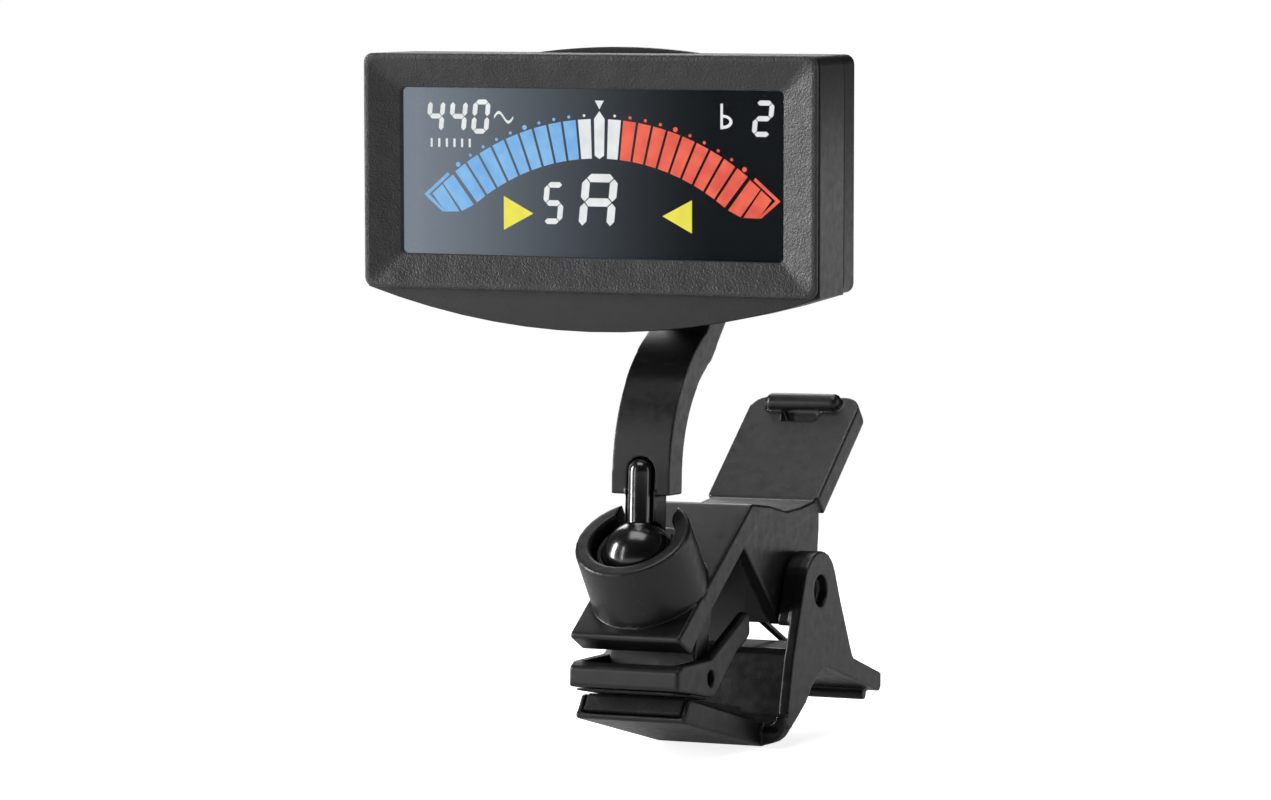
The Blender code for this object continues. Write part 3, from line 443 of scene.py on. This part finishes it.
def rounded_rect(half_x, half_z, radius, count=8):
    """(x, z) points of a rounded rectangle, anticlockwise from its right side."""
    points = []
    for i, (sx, sz) in enumerate(((1, 1), (-1, 1), (-1, -1), (1, -1))):
        for j in range(count + 1):
            a = math.pi / 2 * (i + j / count)
            points.append((sx * (half_x - radius) + radius * math.cos(a),
                           sz * (half_z - radius) + radius * math.sin(a)))
    return points


def closed_piece(name, bm, look, place):
    """Turns bm into an object whose faces point out and whose corners stay crisp."""
    bmesh.ops.recalc_face_normals(bm, faces=bm.faces)
    mesh = bpy.data.meshes.new(name)
    bm.to_mesh(mesh)
    bm.free()
    obj = new_object(name, mesh, look, place)
    obj.data.set_sharp_from_angle(angle=math.radians(CRISP))
    return obj


def loft(name, rings, look, place, closed=False):
    """Skins rings of equal length; closed joins the last ring to the first, else both are capped."""
    bm = bmesh.new()
    rows = [[bm.verts.new(Vector(p) * MM) for p in ring] for ring in rings]
    pairs = list(zip(rows, rows[1:])) + ([(rows[-1], rows[0])] if closed else [])
    for a, b in pairs:
        for i in range(len(a)):
            j = (i + 1) % len(a)
            bm.faces.new((a[i], a[j], b[j], b[i]))
    if not closed:
        bm.faces.new(rows[0])
        bm.faces.new(rows[-1])
    return closed_piece(name, bm, look, place)


def turned(name, profile, look, place, steps=64):
    """A closed round piece from (radius, height) points, top to bottom, about its own z."""
    bm = bmesh.new()
    rows = []
    for r, h in profile:
        if r < 1e-6:
            rows.append([bm.verts.new((0, 0, h * MM))])
            continue
        rows.append([bm.verts.new((r * MM * math.cos(2 * math.pi * i / steps),
                                   r * MM * math.sin(2 * math.pi * i / steps), h * MM))
                     for i in range(steps)])
    for a, b in zip(rows, rows[1:]):
        for i in range(steps):
            j = (i + 1) % steps
            corners = [a[i % len(a)], b[i % len(b)], b[j % len(b)], a[j % len(a)]]
            bm.faces.new(list(dict.fromkeys(corners)))
    return closed_piece(name, bm, look, place)


# ------------------------------------------------------------------------ head --
def bezel():
    """Picture-frame bezel: rounded rim, four mitred slopes and a soft edge at the window."""
    steps_x = HALF_W - WINDOW[0]
    steps_z = HALF_H - WINDOW[1]
    # inset from the outer edge and depth of each ring round the rim
    rim = [(0.12, 0.60), (0.03, 0.55), (0.0, 0.44), (0.0, 0.22), (0.05, 0.10), (0.15, 0.03), (0.30, 0.0),
           (0.62, 0.0), (0.74, 0.02), (0.86, 0.07)]
    rings = [[(x, d, z) for x, z in rounded_rect(HALF_W - i, HALF_H - i, CORNER)] for i, d in rim]
    # share of the way to the window and depth of each ring down the slopes
    for share, depth in ((0.96, 0.93), (0.985, 0.98), (1.0, 1.08), (1.0, 1.8)):
        x, z = HALF_W - share * steps_x, HALF_H - share * steps_z
        rings.append([(u, depth, v) for u, v in rounded_rect(x, z, 0.6)])
    for i, d in ((0.9, 1.8), (0.9, 0.6)):
        rings.append([(x, d, z) for x, z in rounded_rect(HALF_W - i, HALF_H - i, CORNER)])
    return stand_for(loft("bezel_look", rings, "bezel", HEAD, closed=True), "bezel")


def cast(name, outline, front, back, look):
    """A thin plate on the display, from an (x, z) outline, facing the viewer."""
    rings = [[(x, back, z) for x, z in outline], [(x, front, z) for x, z in outline]]
    return loft(name, rings, look, HEAD)


def joined(name, pieces):
    """One object out of several, in the first one's material."""
    bm = bmesh.new()
    for piece in pieces:
        bm.from_mesh(piece.data)
    mesh = pieces[0].data
    bm.to_mesh(mesh)
    bm.free()
    for piece in pieces[1:]:
        bpy.data.objects.remove(piece)
    pieces[0].name = name
    return pieces[0]


MARK_FRONT, MARK_BACK = 2.755, 2.80
ARC_CENTRE = (0.65, -25.2)
ARC_OUTER, ARC_INNER = 31.85, 27.0
ARC_STEP = 3.65          # degrees from one bar of the scale to the next
ARC_GAP = 0.33           # gap between bars
ARC_BARS = 10            # the last plain bar on each side of the middle


def polar(radius, degrees):
    a = math.radians(degrees)
    return ARC_CENTRE[0] + radius * math.sin(a), ARC_CENTRE[1] + radius * math.cos(a)


def bar(angle, inner=ARC_INNER, outer=ARC_OUTER):
    """Outline of one bar of the scale, with parallel gaps on both sides."""
    half_in = ARC_STEP / 2 - math.degrees(ARC_GAP / 2 / inner)
    half_out = ARC_STEP / 2 - math.degrees(ARC_GAP / 2 / outer)
    return [polar(inner, angle - half_in), polar(outer, angle - half_out), polar(outer, angle + half_out),
            polar(inner, angle + half_in)]


def dot(angle, radius):
    cx, cz = polar(ARC_OUTER + 0.45, angle)
    return [(cx + radius * math.cos(2 * math.pi * i / 12), cz + radius * math.sin(2 * math.pi * i / 12))
            for i in range(12)]


def flip(outline, side):
    """Mirrors an outline about the scale's centre line when side is 1."""
    return [(ARC_CENTRE[0] - side * (x - ARC_CENTRE[0]), z) for x, z in outline]


# outlines at the left end of the scale: its last two bars and the chevron past them
LAST_BARS = [
    [(-19.25, -0.50), (-20.62, -1.60), (-18.05, -5.02), (-16.42, -4.22)],
    [(-20.75, -1.75), (-22.1, -2.9), (-20.4, -5.15), (-18.4, -5.1)],
]
CHEVRON = [(-19.98, -0.21), (-23.24, -3.02), (-20.73, -5.15), (-20.36, -5.1), (-22.6, -2.98),
           (-19.73, -0.55)]


def scale_side(side):
    outlines = [bar(side * ARC_STEP * i) for i in range(2, ARC_BARS + 1)]
    outlines += [flip(outline, side) for outline in (*LAST_BARS, CHEVRON)]
    for i in range(2, ARC_BARS + 1):
        outlines.append(dot(side * ARC_STEP * i, 0.31 if i % 5 == 0 else 0.20))
    return outlines


# symbol, left, low, width, height and stroke of each figure
FIGURES = [
    ("4", -23.0, 4.62, 2.35, 4.25, 0.62), ("4", -19.9, 4.62, 2.35, 4.25, 0.62),
    ("0", -16.8, 4.62, 2.35, 4.25, 0.62), ("2", 20.75, 4.75, 2.6, 4.4, 0.62),
    ("5", -7.2, -6.4, 2.75, 5.2, 0.70), ("A", -2.25, -7.1, 4.75, 7.0, 1.02),
]
PITCH_ARROWS = [
    [(-12.3, -7.25), (-8.3, -5.15), (-12.3, -3.05)],
    [(12.95, -7.15), (12.95, -3.1), (9.05, -5.12)],
]
STROKES, STROKE_LEFT, STROKE_STEP = 6, -22.2, 1.05      # row of short strokes under the figures

SEGMENTS = {
    "0": "abcdef", "2": "abged", "4": "fgbc", "5": "afgcd", "A": "abcefg",
}


def figure(symbol, left, low, width, height, thick, slant=0.10):
    """Seven-segment figure: a list of outlines, leaning to the right."""
    gap = thick * 0.10
    mid = height / 2
    half = thick / 2

    def lie(z):
        x0, x1 = half + gap, width - half - gap
        return [(x0, z), (x0 + half, z + half), (x1 - half, z + half), (x1, z), (x1 - half, z - half),
                (x0 + half, z - half)]

    def stand(x, z0, z1):
        z0, z1 = z0 + gap, z1 - gap
        return [(x, z0), (x + half, z0 + half), (x + half, z1 - half), (x, z1), (x - half, z1 - half),
                (x - half, z0 + half)]

    shapes = {
        "a": lie(height - half), "g": lie(mid), "d": lie(half),
        "f": stand(half, mid, height - half), "b": stand(width - half, mid, height - half),
        "e": stand(half, half, mid), "c": stand(width - half, half, mid),
    }
    return [[(left + x + slant * z, low + z) for x, z in shapes[key]] for key in SEGMENTS[symbol]]


def marks(name, outlines, look):
    plates = [cast(f"{name}_{i}", outline, MARK_FRONT, MARK_BACK, look)
              for i, outline in enumerate(outlines)]
    return detail(joined(name, plates), "head", "lcd")


def wave_mark(left, low, width, height, thick, count=16):
    """A small sine wave, the sign for a pitch."""
    top, bottom = [], []
    for i in range(count + 1):
        t = i / count
        z = low + height / 2 * (1 + math.sin(2 * math.pi * t))
        top.append((left + width * t, z + thick / 2))
        bottom.append((left + width * t, z - thick / 2))
    return bottom + top[::-1]


def display_marks():
    marks("scale_low", scale_side(-1), "blue")
    marks("scale_high", scale_side(1), "red")
    cx = ARC_CENTRE[0]
    needle = [(cx, 1.75), (cx + 0.62, 2.15), (cx + 0.70, 6.65), (cx, 7.6), (cx - 0.70, 6.65),
              (cx - 0.62, 2.15)]
    pointer = [(cx, 7.85), (cx + 0.6, 8.9), (cx - 0.6, 8.9)]
    centre = [needle, pointer, bar(-ARC_STEP), bar(ARC_STEP), dot(-ARC_STEP, 0.17), dot(ARC_STEP, 0.17)]
    marks("scale_centre", centre, "white")
    marks("pitch_arrows", PITCH_ARROWS, "yellow")
    figures = []
    for symbol, *place in FIGURES:
        figures += figure(symbol, *place)
    marks("figures", figures, "white")
    small = [wave_mark(-13.6, 6.1, 2.6, 1.2, 0.36)]
    for i in range(STROKES):
        small.append(rounded_box_at(STROKE_LEFT + STROKE_STEP * i, 3.45, 0.14, 0.55))
    small += flat_sign(16.7, 5.6)
    marks("small_signs", small, "white")


def rounded_box_at(x, z, half_x, half_z):
    return [(x + u, z + v) for u, v in rounded_rect(half_x, half_z, min(half_x, half_z) * 0.8, 3)]


def flat_sign(x, z):
    """Musical flat sign: a stem and a bowl."""
    stem = [(x, z), (x + 0.32, z), (x + 0.32, z + 3.1), (x, z + 3.1)]
    outer, inner = [], []
    for i in range(11):
        a = math.radians(100 - 190 * i / 10)
        outer.append((x + 0.32 + 1.25 * max(0, math.cos(a)), z + 0.90 + 0.86 * math.sin(a)))
        inner.append((x + 0.32 + 0.86 * max(0, math.cos(a)), z + 0.93 + 0.50 * math.sin(a)))
    return [stem, outer + inner[::-1]]


def screw(node, x, z, head, radius, seat):
    """Pan head screw in the rear case, with a cross recess; head and seat are depths."""
    place = HEAD @ Matrix.Translation(Vector((x, 0, z)) * MM) @ Matrix.Rotation(-math.pi / 2, 4, "X")
    profile = [(0, head), (radius * 0.55, head), (radius * 0.86, head - 0.10), (radius, head - 0.30),
               (radius, head - 0.8), (radius * 0.5, head - 0.8), (radius * 0.5, seat + 0.4), (0, seat)]
    obj = turned(node + "_look", profile, "steel", place, 40)
    for i, (u, v) in enumerate(((0.62, 0.15), (0.15, 0.62))):
        u, v = u * radius, v * radius
        corners = [(-u, -v), (u, -v), (u, v), (-u, v)]
        arm_cut = loft(f"recess_{i}", [[(a * t, b * t, d) for a, b in corners]
                                       for t, d in ((0.8, head - 0.5), (1.08, head + 0.2))], "steel", place)
        cut = obj.modifiers.new("recess", "BOOLEAN")
        cut.operation = "DIFFERENCE"
        cut.solver = "EXACT"
        cut.object = arm_cut
        baked(obj)
        bpy.data.objects.remove(arm_cut)
    obj.data.shade_smooth()
    obj.data.set_sharp_from_angle(angle=math.radians(CRISP))
    return stand_for(obj, node)


def display_stack():
    bevelled("display_window", "window", 0.15, 2)
    bevelled("lcd_glass", "glass", 0.1, 2)
    for node, look in (("backlight_guide", "guide"), ("circuit_board", "board"),
                       ("connector_strip", "rubber"), ("tuner_chip", "chip"),
                       ("quartz_crystal", "steel"), ("piezo_sensor", "brass")):
        bevelled(node, look, 0.06, 2)


def head_pieces():
    bezel()
    bevelled("front_case", "case", 0.22, 3, 40)
    bevelled("rear_case", "case", 0.2, 3, 40)
    moulded("power_button", "case", 0.1, 3)
    moulded("tilt_bracket", "clip", 0.1, 4)
    bevelled("battery_cover", "case", 0.15)
    for name in ("calibration", "instrument", "flat"):
        bevelled(name + "_button", "rubber", 0.12)
        bevelled(name + "_switch", "steel", 0.05)
    bevelled("power_switch", "steel", 0.05)
    display_stack()
    display_marks()
    for node in ("coin_cell", "negative_contact", "positive_contact", "friction_washer_1",
                 "friction_washer_2", "tilt_pin", "bracket_screw_1", "bracket_screw_2"):
        bevelled(node, LOOK_OF_SLOT[SLOT_OF[node]], 0.05, 2)
    corners = [(x, z) for z in (SCREW_Z, -SCREW_Z) for x in (-SCREW_X, SCREW_X)]
    for i, (x, z) in enumerate(corners):
        screw(f"case_screw_{i + 1}", x, z, SCREW_HEAD, 1.6, SCREW_SEAT)


# ------------------------------------------------------------- arm, ball, clip --
def ball_and_stud():
    """Polished ball with its round stud, softly blended where they meet."""
    ball, stud, top = 4.5, 1.5, 12.1
    profile = [(0, top)]
    for i in range(1, 9):
        a = math.pi / 2 * (1 - i / 8)
        profile.append((stud * math.cos(a), top - stud + stud * math.sin(a)))
    neck = math.asin(stud / ball)
    fillet = 0.35
    profile += [(stud, ball * math.cos(neck) + fillet), (stud + 0.06, ball * math.cos(neck) + fillet * 0.4)]
    for i in range(33):
        a = neck + 0.06 + (math.pi - neck - 0.06) * i / 32
        profile.append((ball * math.sin(a) if i < 32 else 0, ball * math.cos(a)))
    return stand_for(turned("ball_stud_look", profile, "gloss", ARM), "ball_stud")


def arc(centre, radius, start, end, count):
    """Points of an arc in a plane, angles in degrees, both ends included."""
    return [(centre[0] + radius * math.cos(math.radians(start + (end - start) * i / count)),
             centre[1] + radius * math.sin(math.radians(start + (end - start) * i / count)))
            for i in range(count + 1)]


def slab(name, outline, half_x, place, look="clip"):
    """A plate of width 2 half_x from a (y, z) outline."""
    rings = [[(x, y, z) for y, z in outline] for x in (-half_x, half_x)]
    return loft(name, rings, look, place)


ARM_HALF, ARM_THICK = 3.85, 4.1
ARM_BOTTOM, ARM_BEND_START = 7.7, 10.0
ARM_FRONT_R, ARM_BEND, ARM_RETURN_R = 19.3, 65.0, 8.5
KNUCKLE_HALF, KNUCKLE_R, KNUCKLE_RISE = 2.2, 2.15, 3.2


def arm():
    """Curved arm with its knuckle above and the neck that meets the ball below."""
    centre = (ARM_FRONT_R, ARM_BEND_START)
    mid = ARM_FRONT_R - ARM_THICK / 2
    bend = math.radians(ARM_BEND)
    end = (centre[0] - mid * math.cos(bend), centre[1] + mid * math.sin(bend))
    pivot = (end[0] - ARM_RETURN_R * math.cos(bend), end[1] + ARM_RETURN_R * math.sin(bend))
    front = [(0, ARM_BOTTOM)] + arc(centre, ARM_FRONT_R, 180, 180 - ARM_BEND, 48)
    back = [(ARM_THICK, ARM_BOTTOM)] + arc(centre, ARM_FRONT_R - ARM_THICK, 180, 180 - ARM_BEND, 48)
    front += arc(pivot, ARM_RETURN_R - ARM_THICK / 2, ARM_BEND - 90, 0, 24)[1:]
    back += arc(pivot, ARM_RETURN_R + ARM_THICK / 2, ARM_BEND - 90, 0, 24)[1:]
    top = (pivot[0] + ARM_RETURN_R, pivot[1])
    hinge = (top[0], top[1] + KNUCKLE_RISE)
    body = slab("arm_body", front + back[::-1], ARM_HALF, ARM)
    eye = [(top[0] - 1.9, top[1] - 1.0)] + arc(hinge, KNUCKLE_R, 180, 0, 32) + [(top[0] + 1.9, top[1] - 1.0)]
    knuckle = slab("arm_knuckle", eye, KNUCKLE_HALF, ARM)
    neck = slab("arm_neck", [(-0.2, 0.9), (3.8, 0.9), (3.8, 8.3), (-0.2, 8.3)], 1.95, ARM)
    room = turned("stud_room", [(0, 12.45), (0.9, 12.2), (1.5, 11.6), (1.78, 10.8), (1.78, 0), (0, 0)],
                  "clip", ARM)
    ball_room = turned("ball_room", [(r, h) for r, h in arc((0, 0), 4.72, 90, -90, 32)], "clip", ARM)
    bore = turned("tilt_bore", [(0, 6), (1.1, 6), (1.1, -6), (0, -6)], "clip",
                  ARM @ Matrix.Translation(Vector((0, *hinge)) * MM) @ Matrix.Rotation(math.pi / 2, 4, "Y"))
    shape = united("arm_shape", [body, knuckle, neck])
    moulded("arm", "clip", 0.13, 5, 0.35, source=shape, cuts=(room, ball_room, bore))


def united(name, pieces):
    """Mesh of the union of several closed pieces."""
    first = pieces[0]
    for piece in pieces[1:]:
        add = first.modifiers.new("add", "BOOLEAN")
        add.operation = "UNION"
        add.solver = "EXACT"
        add.object = piece
    baked(first)
    for piece in pieces[1:]:
        bpy.data.objects.remove(piece)
    mesh = first.data
    mesh.name = name
    bpy.data.objects.remove(first)
    return mesh


SPRING_R, SPRING_WIRE, SPRING_TURNS = 3.1, 0.45, 6
SPRING_X = (-4.9, 1.7)                                   # where the coil starts and ends
SPRING_GRIP, SPRING_FOOT = (7.5, 8.5), (14.0, -9.95)     # ends of its legs, from the pivot


def spring():
    """The torsion spring as a round wire; its coil shares out the twist between the two levers."""
    radius, turns = SPRING_R, SPRING_TURNS
    first, last = SPRING_X
    grip, foot = Vector(SPRING_GRIP), Vector(SPRING_FOOT)
    begin = math.atan2(grip.y, grip.x) + math.acos(radius / grip.length)
    finish = math.atan2(foot.y, foot.x) - math.acos(radius / foot.length) + 2 * math.pi * (turns + 1)
    points = [Vector((first, *grip)) * MM]
    count = turns * 28
    for i in range(count + 1):
        a = begin + (finish - begin) * i / count
        x = first + (last - first) * i / count
        points.append(Vector((x, radius * math.cos(a), radius * math.sin(a))) * MM)
    points.append(Vector((last, *foot)) * MM)
    curve = bpy.data.curves.new("torsion_spring_look", "CURVE")
    curve.dimensions = "3D"
    curve.bevel_depth = SPRING_WIRE * MM
    curve.bevel_resolution = 4
    curve.use_fill_caps = True
    spline = curve.splines.new("POLY")
    spline.points.add(len(points) - 1)
    for point, co in zip(spline.points, points):
        point.co = (*(co + PIVOT), 1)
    guide = bpy.data.objects.new("spring_guide", curve)
    bpy.context.scene.collection.objects.link(guide)
    graph = bpy.context.evaluated_depsgraph_get()
    mesh = bpy.data.meshes.new_from_object(guide.evaluated_get(graph), depsgraph=graph)
    bpy.data.objects.remove(guide)
    obj = new_object("torsion_spring_look", mesh, "spring")
    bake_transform(obj)
    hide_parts("torsion_spring")


CUP_TILT = math.radians(36.0)
CUP = Matrix.Translation(BALL) @ Matrix.Rotation(CUP_TILT, 4, "X")
CUP_RIM, CUP_OUT, CUP_BORE, CUP_FLARE = 3.3, 7.3, 5.35, 0.1
GRIP = (Matrix.Translation(PIVOT + Vector((0, 5.4, 10.9)) * MM)
        @ Matrix.Rotation(math.radians(41.0), 4, "X"))
GRIP_BAR = (1.25, 5.35)          # radius and half length
GRIP_BAR_AT = (0, 17.95, 0.35)


def true_cup(obj):
    """Brings the cup's wall and bore from flat facets onto round surfaces."""
    back = CUP.inverted()
    for vert in obj.data.vertices:
        p = (back @ vert.co) / MM
        r = math.hypot(p.x, p.y)
        if r < 4 or not -5.6 < p.z < CUP_RIM - 0.45:
            continue
        wall = CUP_OUT + CUP_FLARE * (CUP_RIM - p.z) / 8.9
        if abs(r - wall) < 0.13:
            goal = wall - 0.02
        elif abs(r - CUP_BORE) < 0.13 and p.z > 0.2:
            goal = CUP_BORE
        else:
            continue
        p.x *= goal / r
        p.y *= goal / r
        vert.co = CUP @ (p * MM)


def grip_bar():
    """Round bar across the grip's end, half sunk in its face."""
    radius, half = GRIP_BAR
    profile = [(0, half)] + [(radius * math.sin(a), half - 0.7 * (radius - radius * math.cos(a)))
                             for a in (0.4, 0.8, 1.2, 1.57)]
    profile += [(r, -h) for r, h in profile[::-1]]
    place = GRIP @ Matrix.Translation(Vector(GRIP_BAR_AT) * MM) @ Matrix.Rotation(math.pi / 2, 4, "Y")
    return turned("grip_bar", profile, "clip", place, 32)


def grip_slot():
    """Cutter for the slot right below the grip's bar."""
    outline = [(-2.3, 14.9), (2.3, 14.9), (2.75, 16.8), (-2.75, 16.8)]
    return loft("grip_slot", [[(x, y, z) for x, y in outline] for z in (-4.0, 3.0)], "clip", GRIP)


def spring_wall():
    """Web between the cheeks in front of the spring, notched beside the spring's leg, in the dark liner
    plastic as painted shade of the hollow behind it.
    """
    place = Matrix.Translation(PIVOT)
    high = slab("wall_top", [(-9.4, 9.1), (-8.2, 9.1), (-4.0, -3.7), (-5.2, -3.9)], 6.2, place, "liner_and_painted_shade")
    low = loft("wall_end", [[(x, y, z) for y, z in ((-5.2, -3.0), (-4.2, -3.0), (-4.5, -6.2), (-5.5, -6.4))]
                            for x in (-6.15, 2.4)], "liner_and_painted_shade", place)
    # painted shade: the clip-plastic web is drawn in the darker liner plastic
    wall = new_object("spring_wall", united("spring_wall", [high, low]), "liner_and_painted_shade")
    wall.data.set_sharp_from_angle(angle=math.radians(CRISP))
    detail(wall, "upper_clip", "clip_plastic")


def clip_pieces():
    spring_wall()
    moulded("upper_lever", "clip", 0.15, 5, 0.4, more=(grip_bar(),), cuts=(grip_slot(),), after=true_cup)
    moulded("lower_lever", "clip")
    moulded("pad_carrier", "clip", 0.14)
    arm()
    moulded("ball_seat", "liner_and_painted_shade", 0.1, 2)
    moulded("upper_jaw_pad", "rubber", 0.1, 2)
    moulded("lower_jaw_pad", "rubber", 0.12, 3)
    bevelled("pivot_pin", "dark_steel", 0.1)
    bevelled("carrier_pin", "dark_steel", 0.1)
    ball_and_stud()
    spring()


# ------------------------------------------------------------------------ stage --
def floor():
    """Wide pale floor just under the clip, fading to the background's white far away."""
    low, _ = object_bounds()
    size = 6.0
    bm = bmesh.new()
    bmesh.ops.create_grid(bm, x_segments=2, y_segments=2, size=size)
    mesh = bpy.data.meshes.new("floor")
    bm.to_mesh(mesh)
    bm.free()
    obj = bpy.data.objects.new("floor", mesh)
    obj.location = (0, 0, low.z - 0.0001)
    bpy.context.scene.collection.objects.link(obj)
    n = Nodes("floor_paper")
    radius = n.add("ShaderNodeVectorMath", operation="LENGTH")
    n.link(n.coordinates(), radius.inputs[0])
    far = n.spread(radius.outputs["Value"], 0.0, 1.0, 0.10, 0.45)
    white = n.add("ShaderNodeEmission")
    white.inputs["Strength"].default_value = 1.0
    glow_near = n.add("ShaderNodeEmission")
    direct = n.add("ShaderNodeLightPath").outputs["Is Camera Ray"]
    n.link(n.spread(direct, 0.10, 0.84, 0.0, 1.0), glow_near.inputs["Strength"])
    lit = n.add("ShaderNodeAddShader")
    n.link(n.shader.outputs[0], lit.inputs[0])
    n.link(glow_near.outputs[0], lit.inputs[1])
    blend = n.add("ShaderNodeMixShader")
    n.link(far, blend.inputs[0])
    n.link(lit.outputs[0], blend.inputs[1])
    n.link(white.outputs[0], blend.inputs[2])
    n.link(blend.outputs[0], n.output.inputs["Surface"])
    paper = n.mix(n.spread(n.noise(0.01), 0.0, 1.0), (0.88, 0.88, 0.88), (0.92, 0.92, 0.92))
    n.finish(n.mix(direct, (0.62, 0.62, 0.62), paper),
             n.spread(n.noise(0.01), 0.8, 0.9))
    mesh.materials.append(n.material)
    obj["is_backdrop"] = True


def lamp(name, place, width, height, power, target):
    data = bpy.data.lights.new(name, "AREA")
    data.shape = "RECTANGLE"
    data.size = width
    data.size_y = height
    data.energy = power
    obj = bpy.data.objects.new(name, data)
    obj.location = place
    obj.rotation_mode = "QUATERNION"
    obj.rotation_quaternion = (Vector(target) - Vector(place)).to_track_quat("-Z", "Y")
    bpy.context.scene.collection.objects.link(obj)


def world():
    scene_world = bpy.data.worlds.new("studio")
    bpy.context.scene.world = scene_world
    scene_world.use_nodes = True
    tree = scene_world.node_tree
    back = tree.nodes["Background"]
    back.inputs["Color"].default_value = (1, 1, 1, 1)
    path = tree.nodes.new("ShaderNodeLightPath")
    strength = tree.nodes.new("ShaderNodeMapRange")
    strength.inputs["To Min"].default_value = 0.03
    strength.inputs["To Max"].default_value = 1.0
    tree.links.new(path.outputs["Is Camera Ray"], strength.inputs["Value"])
    tree.links.new(strength.outputs["Result"], back.inputs["Strength"])


def camera():
    data = bpy.data.cameras.new("camera")
    data.lens = LENS
    data.sensor_width = 36
    data.clip_start = 0.01
    obj = bpy.data.objects.new("camera", data)
    back = Vector((math.sin(AZIMUTH) * math.cos(ELEVATION), -math.cos(AZIMUTH) * math.cos(ELEVATION),
                   math.sin(ELEVATION)))
    obj.rotation_mode = "QUATERNION"
    obj.rotation_quaternion = (-back).to_track_quat("-Z", "Y")
    obj.location = PIVOT + CAMERA_FROM_PIVOT
    bpy.context.scene.collection.objects.link(obj)
    bpy.context.scene.camera = obj


def from_camera(side_deg, up_deg, distance):
    """A point round the object, by angles from the camera's direction: + is to its right."""
    a, e = AZIMUTH + math.radians(side_deg), math.radians(up_deg)
    middle = (cad_low + cad_high) / 2
    return middle + distance * Vector((math.sin(a) * math.cos(e), -math.cos(a) * math.cos(e), math.sin(e)))


# name, degrees round from the camera, degrees up, distance, width, height (metres), watts
LAMPS = [
    ("key", -90, 12, 0.55, 0.10, 0.36, 3.2),
    ("strip", -54, 12, 0.55, 0.014, 0.34, 0.40),
    ("top", -15, 82, 0.55, 0.40, 0.40, 1.5),
    ("back", -172, 40, 0.6, 0.36, 0.36, 1.3),
    ("right", 82, 4, 0.6, 0.30, 0.5, 0.68),
]


def lights():
    middle = (cad_low + cad_high) / 2
    for name, side, up, distance, width, height, power in LAMPS:
        lamp(name, from_camera(side, up, distance), width, height, power, middle)


def main():
    head_pieces()
    clip_pieces()
    world()
    floor()
    camera()
    lights()
    bpy.context.scene.view_settings.view_transform = "Standard"


main()
